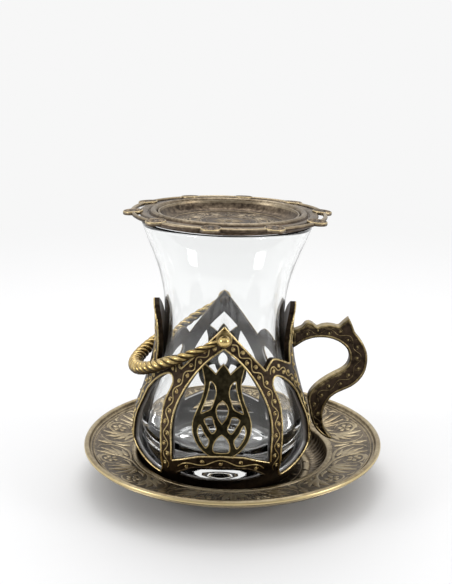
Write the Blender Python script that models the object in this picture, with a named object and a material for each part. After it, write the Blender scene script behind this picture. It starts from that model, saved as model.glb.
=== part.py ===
"""Tulip-waisted tea glass in an openwork metal holder, with a lid and a saucer.

Metres, +Z up. The origin is the middle of the saucer's foot, on the surface it stands on.
The glass, its holder and the lid share one axis. It leans a little, because the holder
stands off centre in the saucer's well: its foot is on the well's floor at the right, and
its left side rests against the well's edge.
"""

import math

import bmesh
import bpy
from mathutils import Matrix, Vector
from mathutils.geometry import delaunay_2d_cdt

MM = 0.001
# Bare gap between two pieces that touch
GAP = 0.3

# Sizes below are in millimetres and degrees

# Saucer
SAUCER_RADIUS = 55.0
SAUCER_HEIGHT = 14.0
SAUCER_SIDES = 40
WELL_RADIUS = 35.2
WELL_EDGE_HEIGHT = 9.9
WELL_FLOOR_RADIUS = 29.3
WELL_FLOOR_HEIGHT = 3.2
SAUCER_WALL = 1.5
FOOT_INNER = 22.4
FOOT_OUTER = 25.4
RIM_BEAD = 1.0

# Where the holder stands in the saucer, and how far it leans
SEAT_OFFSET = -4.5
SEAT_LEAN = 1.6
HOLDER_FOOT_RADIUS = 27.0

# Holder: outer radius at each height above its foot
HOLDER_PROFILE = [
    (0.0, 27.0), (3.0, 29.4), (6.3, 31.0), (9.0, 32.0), (13.5, 33.1), (19.0, 32.7), (23.0, 31.9),
    (28.0, 30.1), (35.0, 28.0), (42.0, 26.2), (50.0, 25.2), (63.0, 25.5),
]
HOLDER_WALL = 1.9
HOLDER_FLOOR = (0.5, 1.9)
PANEL_REFERENCE_RADIUS = 29.0
PANEL_STEP = 3.6
PANEL_GRID = 5.6

# Holder panel from the front gable at 0 degrees to the side gable at 90, as (angle, height)
GABLE_TIP = (0.0, 60.4)
VALLEY = (34.6, 43.9)
LEDGE = [(34.6, 43.9), (37.6, 45.6), (41.5, 47.1), (46.0, 47.1), (52.0, 46.1), (59.0, 44.6), (65.4, 43.4)]
SIDE_GABLE = [(65.4, 43.4), (67.2, 49.0), (69.4, 54.0), (73.5, 58.2), (80.5, 61.2), (90.0, 63.2)]
ARCH_SIDE = [
    (0.0, 52.2), (10.8, 48.2), (19.3, 43.9), (26.2, 39.1), (31.2, 33.8), (33.6, 28.8),
    (32.9, 23.7), (31.4, 18.5), (30.7, 13.0),
]
BAND_TOP = [(30.7, 13.0), (24.3, 14.2), (18.0, 15.4), (12.0, 16.3), (0.0, 16.8)]
BAND_FOOT = [(0.0, 12.2), (12.0, 11.7), (18.0, 10.9), (22.0, 9.8), (28.6, 7.6)]
BASE_RING_TOP = [(28.6, 7.6), (21.0, 6.9), (10.0, 6.6), (0.0, 6.5)]
WINDOW_TOP = [(40.4, 38.6), (41.8, 40.2), (44.6, 40.8), (49.5, 40.1), (55.0, 38.6), (62.0, 35.8), (68.6, 32.2)]
WINDOW_SPINE = [(68.6, 32.2), (71.6, 28.0), (73.6, 22.5), (74.6, 17.0), (73.6, 12.6)]
WINDOW_FOOT = [(73.6, 12.6), (68.0, 10.0), (60.0, 8.2), (51.0, 6.6), (43.0, 5.8)]
WINDOW_PILASTER = [
    (43.0, 5.8), (40.2, 9.0), (39.6, 13.0), (40.2, 17.0), (41.6, 22.0), (43.5, 26.6),
    (44.5, 30.4), (43.8, 33.2), (41.6, 36.2), (40.4, 38.6),
]

# Tulip in each front arch, as (distance from its middle, height), left half mirrored
TULIP_WALL = 1.5
TULIP_INSET = 0.2
TULIP_OUTLINE = [
    (0.0, 46.9), (1.3, 45.4), (2.5, 43.4), (4.2, 45.0), (6.4, 46.7), (7.3, 46.2), (6.9, 44.2), (6.3, 41.6),
    (6.2, 39.0), (7.0, 35.2), (8.5, 31.4), (9.8, 27.8), (10.0, 24.6), (8.9, 21.2), (6.7, 18.4), (4.2, 16.6),
    (2.0, 16.0), (0.0, 15.9),
]
TULIP_SLOT = [
    (4.3, 41.0), (4.8, 38.2), (5.6, 35.2), (6.8, 31.9), (7.2, 30.2), (5.6, 30.9), (3.9, 31.9),
    (3.0, 34.0), (2.2, 37.2), (2.8, 39.8),
]
TULIP_ALMOND = [(0.0, 34.8), (1.0, 34.0), (1.8, 32.7), (2.1, 31.2), (1.5, 29.0), (0.0, 27.1)]
TULIP_CHEVRON = [(6.1, 28.3), (5.0, 26.0), (3.3, 24.0), (1.9, 25.4), (2.7, 27.4), (3.6, 29.4)]
TULIP_SIDE_HOLE = [(7.4, 26.5), (8.3, 24.6), (7.9, 22.6), (6.8, 20.6), (5.2, 19.1), (4.2, 21.6), (5.9, 24.0)]
TULIP_ARCH_HOLE = [(0.0, 23.8), (1.6, 22.6), (2.7, 20.6), (2.9, 18.8), (2.4, 17.7), (0.0, 17.5)]

# Rivets and the twisted rope bail that swings on them
RIVET_HEIGHT = 56.6
RIVET_HOLE_RADIUS = 1.45
RIVET_SHANK_RADIUS = 1.1
RIVET_BALL_RADIUS = 2.1
RIVET_COLLAR_RADIUS = 2.65
RIVET_HEAD_RADIUS = 1.8
RIVET_HEAD_THICKNESS = 0.6
RIVET_SIDES = 12
EYE_INNER_RADIUS = 1.5
EYE_OUTER_RADIUS = 2.7
EYE_THICKNESS = 2.3
ROPE_REACH = 37.0
ROPE_DROOP = 29.4
ROPE_THICK_RADIUS = 2.6
ROPE_THIN_RADIUS = 1.3
ROPE_STRANDS = 3
ROPE_STRAND_SIDES = 3
ROPE_PITCH = 6.6
ROPE_STEP = 1.3
ROPE_GROOVE = 0.16

# Handle: outline in the plane of the holder's axis, as (distance from the axis, height)
HANDLE_THICKNESS = 4.2
HANDLE_RIM = 0.35
HANDLE_TOP = [
    (25.85, 52.6), (28.2, 53.9), (29.2, 55.2), (30.6, 55.8), (32.2, 55.2), (33.8, 54.0), (35.3, 54.6),
    (37.6, 55.0), (39.9, 54.8), (41.6, 54.5), (43.0, 55.9), (45.0, 57.7),
]
HANDLE_BACK = [
    (45.0, 57.7), (46.3, 55.4), (47.8, 52.0), (49.7, 49.7), (51.5, 46.9), (52.5, 44.0), (52.6, 40.6),
    (51.9, 37.2), (50.2, 34.3), (47.9, 32.1), (45.1, 30.5), (42.3, 29.1), (40.0, 27.2), (38.5, 24.8),
    (37.6, 22.2), (37.4, 19.4), (37.8, 16.6), (39.1, 13.7), (41.5, 10.9),
]
HANDLE_FRONT = [
    (41.5, 10.9), (39.6, 11.2), (37.0, 12.8), (34.6, 15.6), (33.2, 18.8), (32.4, 22.4), (31.7, 25.6),
    (31.9, 28.0), (33.2, 30.3), (35.3, 32.5), (38.1, 34.7), (41.0, 36.5), (43.7, 38.1), (45.4, 39.9),
    (46.1, 42.1), (45.9, 44.1), (44.8, 46.4), (42.6, 48.4), (40.1, 49.6), (37.6, 50.2), (34.9, 50.3),
    (32.1, 49.9), (29.3, 48.8), (27.1, 47.3), (25.85, 46.0),
]

# Glass: outer radius at each height above the holder's foot, and its wall
GLASS_SIDES = 32
GLASS_OUTSIDE = [
    (21.5, 2.2), (24.6, 2.7), (27.2, 4.4), (28.8, 7.2), (29.6, 10.8), (29.8, 15.2), (29.4, 19.6), (28.2, 25.0),
    (26.4, 31.0), (24.7, 37.0), (23.2, 43.5), (22.2, 50.0), (21.7, 56.5), (21.8, 62.5), (22.6, 69.0),
    (24.2, 75.5), (26.4, 81.6), (28.8, 87.6), (30.4, 92.1),
]
GLASS_INSIDE_HEIGHT = 7.6
GLASS_WALL_FOOT = 1.9
GLASS_WALL_RIM = 1.3
GLASS_RIM_HEIGHT = 92.4

# Lid
LID_SIDES = 40
LID_OFFSET = 0.5
LID_SECTION = [
    (0.0, 91.9), (20.6, 91.9), (22.6, 92.5), (24.0, 93.9), (24.5, 95.0), (25.0, 94.9), (25.8, 95.8),
    (26.9, 96.0), (27.8, 95.5), (28.3, 95.2), (31.3, 95.2), (31.6, 94.5), (30.5, 93.5), (30.4, 92.7),
    (28.6, 92.7), (28.2, 93.4), (25.6, 93.2), (24.0, 91.7), (22.0, 90.9), (0.0, 90.9),
]
DISC_COUNT = 10
FIRST_DISC_ANGLE = -10.0
DISC_RING_RADIUS = 33.7
DISC_RADIUS = 3.5
DISC_HEIGHTS = (94.4, 95.8)
DISC_SIDES = 12
STEM_WIDTH = 1.9
STEM_HEIGHTS = (94.4, 95.4)
STEM_INNER_RADIUS = 30.6
SCALLOP_HEIGHT = 94.9
SCALLOP_RADIUS = 0.85
SCALLOP_BULGE = 0.3
SCALLOP_POINTS = 7

BRONZE = (0.22, 0.165, 0.095)
BEIGE_BRONZE = (0.36, 0.30, 0.20)
GOLDEN = (0.52, 0.41, 0.18)
LID_BRONZE = (0.27, 0.205, 0.135)
CLEAR = (0.86, 0.92, 0.91)


# Small helpers

def clear_scene():
    for thing in list(bpy.data.objects):
        bpy.data.objects.remove(thing, do_unlink=True)


def make_material(name, colour, roughness, metallic, transmission=0.0):
    material = bpy.data.materials.new(name)
    material.use_nodes = True
    shader = material.node_tree.nodes["Principled BSDF"]
    shader.inputs["Base Color"].default_value = (*colour, 1.0)
    shader.inputs["Roughness"].default_value = roughness
    shader.inputs["Metallic"].default_value = metallic
    shader.inputs["Transmission Weight"].default_value = transmission
    return material


def add_object(name, mesh, material=None, parent=None):
    thing = bpy.data.objects.new(name, mesh)
    bpy.context.scene.collection.objects.link(thing)
    if material:
        mesh.materials.clear()
        mesh.materials.append(material)
    thing.parent = parent
    return thing


def mesh_from(name, points, faces, smooth_angle=None):
    """A mesh in metres from points in millimetres."""
    mesh = bpy.data.meshes.new(name)
    mesh.from_pydata([Vector(point) * MM for point in points], [], faces)
    mesh.validate()
    tidy = bmesh.new()
    tidy.from_mesh(mesh)
    bmesh.ops.remove_doubles(tidy, verts=tidy.verts, dist=0.01 * MM)
    bmesh.ops.recalc_face_normals(tidy, faces=tidy.faces)
    tidy.to_mesh(mesh)
    tidy.free()
    if smooth_angle is not None:
        mesh.shade_smooth()
        mesh.set_sharp_from_angle(angle=math.radians(smooth_angle))
    return mesh


def interpolate(table, position):
    """Smooth value at a position, from a table of (position, value), without overshoot."""
    last = len(table) - 1
    if position <= table[0][0]:
        return table[0][1]
    if position >= table[last][0]:
        return table[last][1]
    slopes = [(table[i + 1][1] - table[i][1]) / (table[i + 1][0] - table[i][0]) for i in range(last)]

    def tangent(i):
        if i in (0, last) or slopes[i - 1] * slopes[min(i, last - 1)] <= 0.0:
            return slopes[0] if i == 0 else slopes[last - 1] if i == last else 0.0
        return 2.0 * slopes[i - 1] * slopes[i] / (slopes[i - 1] + slopes[i])

    i = max(k for k in range(last) if table[k][0] <= position)
    width = table[i + 1][0] - table[i][0]
    t = (position - table[i][0]) / width
    start, end = table[i][1], table[i + 1][1]
    return (
        (2 * t**3 - 3 * t**2 + 1) * start + (t**3 - 2 * t**2 + t) * width * tangent(i)
        + (3 * t**2 - 2 * t**3) * end + (t**3 - t**2) * width * tangent(i + 1)
    )


def smooth_run(points, step, closed=False):
    """Points at about one step along a smooth curve through the given points."""
    points = [Vector(point) for point in points]
    count = len(points)
    spans = count if closed else count - 1
    line = []
    for i in range(spans):
        a, b = points[i], points[(i + 1) % count]
        before = points[(i - 1) % count] if closed or i > 0 else a * 2 - b
        after = points[(i + 2) % count] if closed or i + 2 < count else b * 2 - a
        pieces = max(1, round((b - a).length / step))
        for k in range(pieces):
            t = k / pieces
            line.append(0.5 * (
                2 * a + (b - before) * t + (2 * before - 5 * a + 4 * b - after) * t**2
                + (3 * a - before - 3 * b + after) * t**3
            ))
    if not closed:
        line.append(points[-1])
    return line


def joined(runs):
    """One closed loop from runs that share their end points."""
    loop = []
    for run in runs:
        loop.extend(run[:-1])
    return loop


def inside(loops, point):
    """Even-odd test of a point against all the loops together."""
    x, y = point
    odd = False
    for loop in loops:
        for i, b in enumerate(loop):
            a = loop[i - 1]
            if (a[1] > y) != (b[1] > y) and x < (b[0] - a[0]) * (y - a[1]) / (b[1] - a[1]) + a[0]:
                odd = not odd
    return odd


def distance_to(loops, point):
    nearest = math.inf
    for loop in loops:
        for i, b in enumerate(loop):
            a = loop[i - 1]
            along = b - a
            t = max(0.0, min(1.0, (point - a).dot(along) / max(along.length_squared, 1e-12)))
            nearest = min(nearest, (a + along * t - point).length)
    return nearest


def triangulate(loops, grid):
    """Flat triangles between an outline and its holes, with grid points inside."""
    xs = [point[0] for point in loops[0]]
    ys = [point[1] for point in loops[0]]
    spare = []
    for i in range(1, int((max(xs) - min(xs)) / grid) + 1):
        for k in range(1, int((max(ys) - min(ys)) / grid) + 1):
            point = Vector((min(xs) + i * grid, min(ys) + k * grid))
            if inside(loops, point) and distance_to(loops, point) > 0.45 * grid:
                spare.append(point)
    points, edges = [], []
    for loop in loops:
        first = len(points)
        points.extend(loop)
        edges.extend((first + i, first + (i + 1) % len(loop)) for i in range(len(loop)))
    result = delaunay_2d_cdt(points + spare, edges, [], 0, 1e-5)
    flat, faces = result[0], result[2]
    kept = []
    for face in faces:
        middle = sum((flat[i] for i in face), Vector((0.0, 0.0))) / len(face)
        if inside(loops, middle):
            kept.append(tuple(face))
    return flat, kept


def rim_edges(faces):
    """Edges that only one triangle uses, in that triangle's direction."""
    used = {}
    for face in faces:
        for i, b in enumerate(face):
            a = face[i - 1]
            used[(a, b)] = True
    return [edge for edge in used if (edge[1], edge[0]) not in used]


def thick_sheet(flat, faces, place, front, back, open_edge=None):
    """Points and faces of a sheet between two depths. place(point, depth) gives the position."""
    count = len(flat)
    points = [place(point, front) for point in flat] + [place(point, back) for point in flat]
    solid = [tuple(face) for face in faces]
    solid += [tuple(i + count for i in reversed(face)) for face in faces]
    for a, b in rim_edges(faces):
        if open_edge and open_edge(flat[a], flat[b]):
            continue
        solid.append((b, a, a + count, b + count))
    return points, solid


def turned(section, sides):
    """Points and faces of a closed section of (radius, height) turned about +Z."""
    points, faces, rings = [], [], []
    for radius, height in section:
        if radius < 1e-6:
            rings.append([len(points)] * sides)
            points.append((0.0, 0.0, height))
            continue
        rings.append([len(points) + k for k in range(sides)])
        for k in range(sides):
            angle = 2 * math.pi * k / sides
            points.append((radius * math.cos(angle), radius * math.sin(angle), height))
    for i, ring in enumerate(rings):
        after = rings[(i + 1) % len(rings)]
        for k in range(sides):
            corners = [ring[k], ring[(k + 1) % sides], after[(k + 1) % sides], after[k]]
            corners = [c for n, c in enumerate(corners) if c != corners[n - 1]]
            if len(set(corners)) > 2:
                faces.append(tuple(corners))
    return points, faces


def tube_through(path, radii, shape, twist=None):
    """Points and faces of a closed tube. shape is a list of (angle, relative radius)."""
    points, faces = [], []
    last = len(path) - 1
    side = None
    for i, centre in enumerate(path):
        along = (path[min(i + 1, last)] - path[max(i - 1, 0)]).normalized()
        if side is None:
            side = along.orthogonal().normalized()
        side = (side - along * side.dot(along)).normalized()
        other = along.cross(side)
        turn = twist[i] if twist else 0.0
        for angle, relative in shape:
            reach = radii[i] * relative
            offset = side * math.cos(angle + turn) + other * math.sin(angle + turn)
            points.append(centre + offset * reach)
    count = len(shape)
    for i in range(last):
        for k in range(count):
            a, b = i * count + k, i * count + (k + 1) % count
            faces.append((a, b, b + count, a + count))
    faces.append(tuple(reversed(range(count))))
    faces.append(tuple(last * count + k for k in range(count)))
    return points, faces


def cylinder(centre, axis, radius, start, end, sides):
    """Points and faces of a cylinder between two distances along its axis."""
    axis = Vector(axis)
    side = axis.orthogonal().normalized()
    other = axis.cross(side)
    points = []
    for reach in (start, end):
        for k in range(sides):
            angle = 2 * math.pi * k / sides
            points.append(centre + axis * reach + (side * math.cos(angle) + other * math.sin(angle)) * radius)
    faces = [tuple(reversed(range(sides))), tuple(range(sides, 2 * sides))]
    faces += [(k, (k + 1) % sides, sides + (k + 1) % sides, sides + k) for k in range(sides)]
    return points, faces


def fused(name, solids, material, parent, cutters=(), smooth_angle=35.0):
    """One body from overlapping solids, less the cutters."""
    base = add_object(name, solids[0])
    for operation, meshes in (("UNION", solids[1:]), ("DIFFERENCE", cutters)):
        if not meshes:
            continue
        group = bpy.data.collections.new(name + "_" + operation.lower())
        bpy.context.scene.collection.children.link(group)
        for mesh in meshes:
            group.objects.link(bpy.data.objects.new(mesh.name, mesh))
        boolean = base.modifiers.new(operation.title(), "BOOLEAN")
        boolean.operation = operation
        boolean.operand_type = "COLLECTION"
        boolean.collection = group
        boolean.solver = "EXACT"
        bpy.context.view_layer.update()
        result = bpy.data.meshes.new_from_object(base.evaluated_get(bpy.context.evaluated_depsgraph_get()))
        base.modifiers.clear()
        base.data = result
        for thing in list(group.objects):
            bpy.data.objects.remove(thing, do_unlink=True)
        bpy.data.collections.remove(group)
    mesh = base.data
    tidy = bmesh.new()
    tidy.from_mesh(mesh)
    bmesh.ops.remove_doubles(tidy, verts=tidy.verts, dist=0.01 * MM)
    bmesh.ops.dissolve_degenerate(tidy, edges=tidy.edges, dist=0.005 * MM)
    bmesh.ops.triangulate(tidy, faces=tidy.faces)
    tidy.to_mesh(mesh)
    tidy.free()
    mesh.name = name
    mesh.materials.clear()
    mesh.materials.append(material)
    mesh.shade_smooth()
    mesh.set_sharp_from_angle(angle=math.radians(smooth_angle))
    base.parent = parent
    return base


# Saucer

def saucer_section():
    """Rim bead, flange, edge of the well, its cove and floor, and the underside."""
    bead_middle = (SAUCER_RADIUS - RIM_BEAD, SAUCER_HEIGHT)
    bead = []
    for degrees in (-60, -30, 0, 40, 80, 120, 170):
        angle = math.radians(degrees)
        bead.append((bead_middle[0] + RIM_BEAD * math.cos(angle), bead_middle[1] + RIM_BEAD * math.sin(angle)))
    bead[0] = (bead[0][0], bead[0][1] - 0.2)
    flange = [(52.4, SAUCER_HEIGHT - 1.0), (44.8, 11.4), (37.1, WELL_EDGE_HEIGHT)]
    edge = [(WELL_RADIUS + 0.5, WELL_EDGE_HEIGHT), (WELL_RADIUS, WELL_EDGE_HEIGHT - 0.5)]
    cove = []
    for k in range(1, 5):
        angle = math.radians(90 * k / 4)
        width = WELL_RADIUS - WELL_FLOOR_RADIUS
        depth = WELL_EDGE_HEIGHT - 0.5 - WELL_FLOOR_HEIGHT - 0.3
        cove.append((WELL_FLOOR_RADIUS + width * math.cos(angle), WELL_FLOOR_HEIGHT + 0.3 + depth * (1 - math.sin(angle))))
    floor = [(26.6, WELL_FLOOR_HEIGHT), (0.0, WELL_FLOOR_HEIGHT)]
    underside = [
        (0.0, 1.5), (FOOT_INNER - 0.8, 1.5), (FOOT_INNER, 0.0), (FOOT_OUTER, 0.0), (FOOT_OUTER + 1.4, 1.7),
        (30.6, 2.0), (34.4, 4.0), (36.6, WELL_EDGE_HEIGHT - SAUCER_WALL - 0.4), (44.8, 11.4 - SAUCER_WALL),
        (52.6, SAUCER_HEIGHT - 1.0 - SAUCER_WALL + 0.1),
    ]
    return bead + flange + edge + cove + floor + underside


def make_saucer():
    mesh = mesh_from("saucer", *turned(saucer_section(), SAUCER_SIDES), smooth_angle=40)
    return add_object("saucer", mesh, make_material("saucer_bronze", BEIGE_BRONZE, 0.38, 1.0))


# Where the holder stands

def make_seat():
    """Empty at the middle of the holder's foot, which carries all that leans with it."""
    seat = bpy.data.objects.new("holder_seat", None)
    bpy.context.scene.collection.objects.link(seat)
    lean = math.radians(SEAT_LEAN)
    height = WELL_FLOOR_HEIGHT + GAP + HOLDER_FOOT_RADIUS * math.sin(lean)
    seat.location = (SEAT_OFFSET * MM, 0.0, height * MM)
    seat.rotation_euler = (0.0, lean, 0.0)
    return seat


# Holder

def on_holder(point, depth):
    """Position on the holder's surface from (arc length, height), depth inwards."""
    angle = point[0] / PANEL_REFERENCE_RADIUS
    reach = interpolate(HOLDER_PROFILE, point[1]) - depth
    return (reach * math.sin(angle), -reach * math.cos(angle), point[1])


def panel_run(points, smooth=True):
    """A run given in (degrees, height) as (arc length, height)."""
    scale = math.radians(1.0) * PANEL_REFERENCE_RADIUS
    flat = [(angle * scale, height) for angle, height in points]
    if smooth:
        return smooth_run(flat, PANEL_STEP)
    line = []
    for i in range(len(flat) - 1):
        line.extend(smooth_run(flat[i:i + 2], PANEL_STEP)[:-1])
    return line + [Vector(flat[-1])]


def holder_panel():
    """Quarter of the openwork wall, triangulated flat: gables, arch, pilaster, window and base ring."""
    side_foot = (SIDE_GABLE[-1][0], 0.0)
    outline = joined([
        panel_run([GABLE_TIP, VALLEY], smooth=False),
        panel_run(LEDGE),
        panel_run(SIDE_GABLE),
        panel_run([SIDE_GABLE[-1], side_foot], smooth=False),
        panel_run([side_foot, (0.0, 0.0)], smooth=False),
        panel_run([(0.0, 0.0), BASE_RING_TOP[-1]], smooth=False),
        panel_run(BASE_RING_TOP[::-1]),
        panel_run(BAND_FOOT[::-1]),
        panel_run([BAND_FOOT[0], BAND_TOP[-1]], smooth=False),
        panel_run(BAND_TOP[::-1]),
        panel_run(ARCH_SIDE[::-1]),
        panel_run([ARCH_SIDE[0], GABLE_TIP], smooth=False),
    ])
    window = joined([panel_run(WINDOW_TOP), panel_run(WINDOW_SPINE), panel_run(WINDOW_FOOT), panel_run(WINDOW_PILASTER)])
    return triangulate([outline, window], PANEL_GRID)


def holder_wall_mesh():
    """The whole openwork wall: the quarter panel and its three mirror images."""
    flat, faces = holder_panel()
    edge_arc = math.radians(90) * PANEL_REFERENCE_RADIUS

    def on_mirror_line(a, b):
        return (a[0] < 1e-4 and b[0] < 1e-4) or (a[0] > edge_arc - 1e-4 and b[0] > edge_arc - 1e-4)

    points, solid = thick_sheet(flat, faces, on_holder, 0.0, HOLDER_WALL, on_mirror_line)
    all_points, all_faces = [], []
    for flip_x in (1, -1):
        for flip_y in (1, -1):
            first = len(all_points)
            all_points.extend((x * flip_x, y * flip_y, z) for x, y, z in points)
            for face in solid:
                moved = [first + i for i in face]
                all_faces.append(moved if flip_x == flip_y else moved[::-1])
    return mesh_from("holder_wall", all_points, all_faces)


def on_tulip(sign):
    def place(point, depth):
        reach = interpolate(HOLDER_PROFILE, point[1]) - TULIP_INSET - depth
        angle = math.asin(point[0] / reach)
        return (sign * reach * math.sin(angle), -sign * reach * math.cos(angle), point[1])
    return place


def mirrored_loop(half):
    """A closed loop from the half of it that runs from top to bottom beside the middle line."""
    return [Vector(p) for p in half] + [Vector((-x, y)) for x, y in half[-2:0:-1]]


def tulip_mesh(sign):
    outline = mirrored_loop(TULIP_OUTLINE)
    holes = [mirrored_loop(TULIP_ALMOND), mirrored_loop(TULIP_ARCH_HOLE)]
    for side in (1, -1):
        for hole in (TULIP_SLOT, TULIP_CHEVRON, TULIP_SIDE_HOLE):
            holes.append([Vector((side * x, y)) for x, y in hole])
    flat, faces = triangulate([outline] + holes, PANEL_GRID)
    points, solid = thick_sheet(flat, faces, on_tulip(sign), 0.0, TULIP_WALL)
    return mesh_from("tulip", points, solid)


def make_holder(seat, material):
    low, high = HOLDER_FLOOR
    floor_reach = interpolate(HOLDER_PROFILE, low) - 0.8
    floor = [(0.0, low), (floor_reach, low), (floor_reach + 0.6, high), (0.0, high)]
    floor_mesh = mesh_from("holder_floor", *turned(floor, SAUCER_SIDES))
    drill = cylinder(Vector((0.0, 0.0, RIVET_HEIGHT)), (0, 1, 0), RIVET_HOLE_RADIUS, -40.0, 40.0, 12)
    return fused(
        "holder", [holder_wall_mesh(), tulip_mesh(1), tulip_mesh(-1), floor_mesh], material, seat,
        cutters=[mesh_from("rivet_holes", *drill)],
    )


# Rivets

def rivet_section():
    """From the peened head inside the wall to the ball outside the eye, as (radius, distance)."""
    wall_face = interpolate(HOLDER_PROFILE, RIVET_HEIGHT)
    inner_face = wall_face - HOLDER_WALL
    collar = wall_face + GAP + EYE_THICKNESS + GAP
    ball_middle = collar + 1.9
    section = [
        (0.0, inner_face - GAP - RIVET_HEAD_THICKNESS), (RIVET_HEAD_RADIUS - 0.3, inner_face - GAP - RIVET_HEAD_THICKNESS),
        (RIVET_HEAD_RADIUS, inner_face - GAP - 0.2), (RIVET_HEAD_RADIUS, inner_face - GAP),
        (RIVET_SHANK_RADIUS, inner_face - GAP), (RIVET_SHANK_RADIUS, collar),
        (RIVET_COLLAR_RADIUS, collar), (RIVET_COLLAR_RADIUS, collar + 0.5), (RIVET_BALL_RADIUS - 0.1, collar + 0.9),
    ]
    for k in range(1, 6):
        angle = math.radians(-14 + 104 * k / 5)
        section.append((RIVET_BALL_RADIUS * math.cos(angle) if k < 5 else 0.0, ball_middle + RIVET_BALL_RADIUS * math.sin(angle)))
    return section


def make_rivet(name, sign, seat, material):
    points, faces = turned(rivet_section(), RIVET_SIDES)
    mesh = mesh_from(name, points, faces, smooth_angle=40)
    rivet = add_object(name, mesh, material, seat)
    rivet.location = (0.0, 0.0, RIVET_HEIGHT * MM)
    rivet.rotation_euler = (math.radians(90) * sign, 0.0, 0.0)
    return rivet


# Rope bail

def rope_path():
    """Centre line from the front eye round the left side to the rear eye, about the hinge."""
    wall_face = interpolate(HOLDER_PROFILE, RIVET_HEIGHT)
    half_span = wall_face + GAP + EYE_THICKNESS / 2
    droop = math.radians(ROPE_DROOP)
    count = 240
    fine = []
    for k in range(count + 1):
        t = math.pi * k / count
        reach = ROPE_REACH * math.sin(t)
        fine.append(Vector((-reach * math.cos(droop), -half_span * math.cos(t), -reach * math.sin(droop))))
    length = sum((fine[i + 1] - fine[i]).length for i in range(count))
    steps = round(length / ROPE_STEP)
    path, travelled, goal = [fine[0]], 0.0, length / steps
    for i in range(count):
        span = (fine[i + 1] - fine[i]).length
        while travelled + span >= goal - 1e-6 and len(path) < steps:
            path.append(fine[i].lerp(fine[i + 1], (goal - travelled) / span))
            goal += length / steps
        travelled += span
    path.append(fine[-1])
    return path, length / steps


def rope_mesh():
    path, step = rope_path()
    last = len(path) - 1
    radii = [
        ROPE_THIN_RADIUS + (ROPE_THICK_RADIUS - ROPE_THIN_RADIUS) * math.sin(math.pi * i / last) ** 1.3
        for i in range(last + 1)
    ]
    twist = [2 * math.pi * i * step / ROPE_PITCH for i in range(last + 1)]
    sides = ROPE_STRANDS * ROPE_STRAND_SIDES
    shape = []
    for k in range(sides):
        angle = 2 * math.pi * k / sides
        shape.append((angle, 1.0 if k % ROPE_STRAND_SIDES else 1.0 - ROPE_GROOVE))
    skip = 2
    return mesh_from(
        "rope_strands", *tube_through(path[skip:-skip], radii[skip:-skip], shape, twist[skip:-skip]))


def eye_mesh(sign):
    """Flat ring at an end of the rope, turned about the hinge axis."""
    wall_face = interpolate(HOLDER_PROFILE, RIVET_HEIGHT)
    near, far = wall_face + GAP, wall_face + GAP + EYE_THICKNESS
    section = [(EYE_INNER_RADIUS, near), (EYE_OUTER_RADIUS, near), (EYE_OUTER_RADIUS, far), (EYE_INNER_RADIUS, far)]
    points, faces = turned(section, 16)
    return mesh_from("rope_eye", [(x, -sign * z, y) for x, y, z in points], faces)


def make_rope(seat, material):
    rope_bore = cylinder(Vector((0.0, 0.0, 0.0)), (0, 1, 0), EYE_INNER_RADIUS, -40.0, 40.0, 16)
    rope = fused(
        "rope_handle", [rope_mesh(), eye_mesh(1), eye_mesh(-1)], material, seat,
        cutters=[mesh_from("eye_bore", *rope_bore)], smooth_angle=50.0,
    )
    rope.location = (0.0, 0.0, RIVET_HEIGHT * MM)
    return rope


# Handle

def make_handle(seat, material):
    step = 2.4
    outline = joined([
        smooth_run(HANDLE_TOP, step), smooth_run(HANDLE_BACK, step), smooth_run(HANDLE_FRONT, step),
        smooth_run([HANDLE_FRONT[-1], HANDLE_TOP[0]], step),
    ])
    flat, faces = triangulate([outline], 60.0)
    half = HANDLE_THICKNESS / 2
    points, solid = thick_sheet(flat, faces, lambda point, depth: (point[0], depth, point[1]), -half, half)
    mesh = mesh_from("handle", points, solid)
    handle = add_object("handle", mesh, material, seat)
    rounding = handle.modifiers.new("Edge", "BEVEL")
    rounding.width = HANDLE_RIM * MM
    rounding.segments = 1
    rounding.limit_method = "ANGLE"
    rounding.angle_limit = math.radians(60)
    return handle


# Glass

def glass_section():
    """Outside from the foot up, over the rim and down the inside to the thick bottom."""
    outside = list(GLASS_OUTSIDE)
    rim_radius = GLASS_OUTSIDE[-1][0] - GLASS_WALL_RIM / 2
    low, high = GLASS_INSIDE_HEIGHT, GLASS_RIM_HEIGHT
    inside_wall = []
    for radius, height in reversed(GLASS_OUTSIDE[4:]):
        share = (height - low) / (high - low)
        wall = GLASS_WALL_FOOT + (GLASS_WALL_RIM - GLASS_WALL_FOOT) * share
        inside_wall.append((radius - wall, height))
    bottom = [(25.0, 8.9), (21.0, low), (0.0, low)]
    return outside + [(rim_radius, GLASS_RIM_HEIGHT)] + inside_wall + bottom + [(0.0, GLASS_OUTSIDE[0][1])]


def make_glass(seat):
    mesh = mesh_from("glass", *turned(glass_section(), GLASS_SIDES), smooth_angle=40)
    return add_object("glass", mesh, make_material("clear_glass", CLEAR, 0.02, 0.0, 1.0), seat)


# Lid

def scallop_path(index):
    """Centre line of the bar between two discs, which stands clear of the plate and bulges out a little."""
    span = 2 * math.pi / DISC_COUNT
    start = math.radians(FIRST_DISC_ANGLE) + index * span
    path = []
    for k in range(SCALLOP_POINTS):
        share = k / (SCALLOP_POINTS - 1)
        angle = start + span * share
        reach = DISC_RING_RADIUS + SCALLOP_BULGE * math.sin(math.pi * share)
        path.append(Vector((reach * math.sin(angle), -reach * math.cos(angle), SCALLOP_HEIGHT)))
    return path


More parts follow.
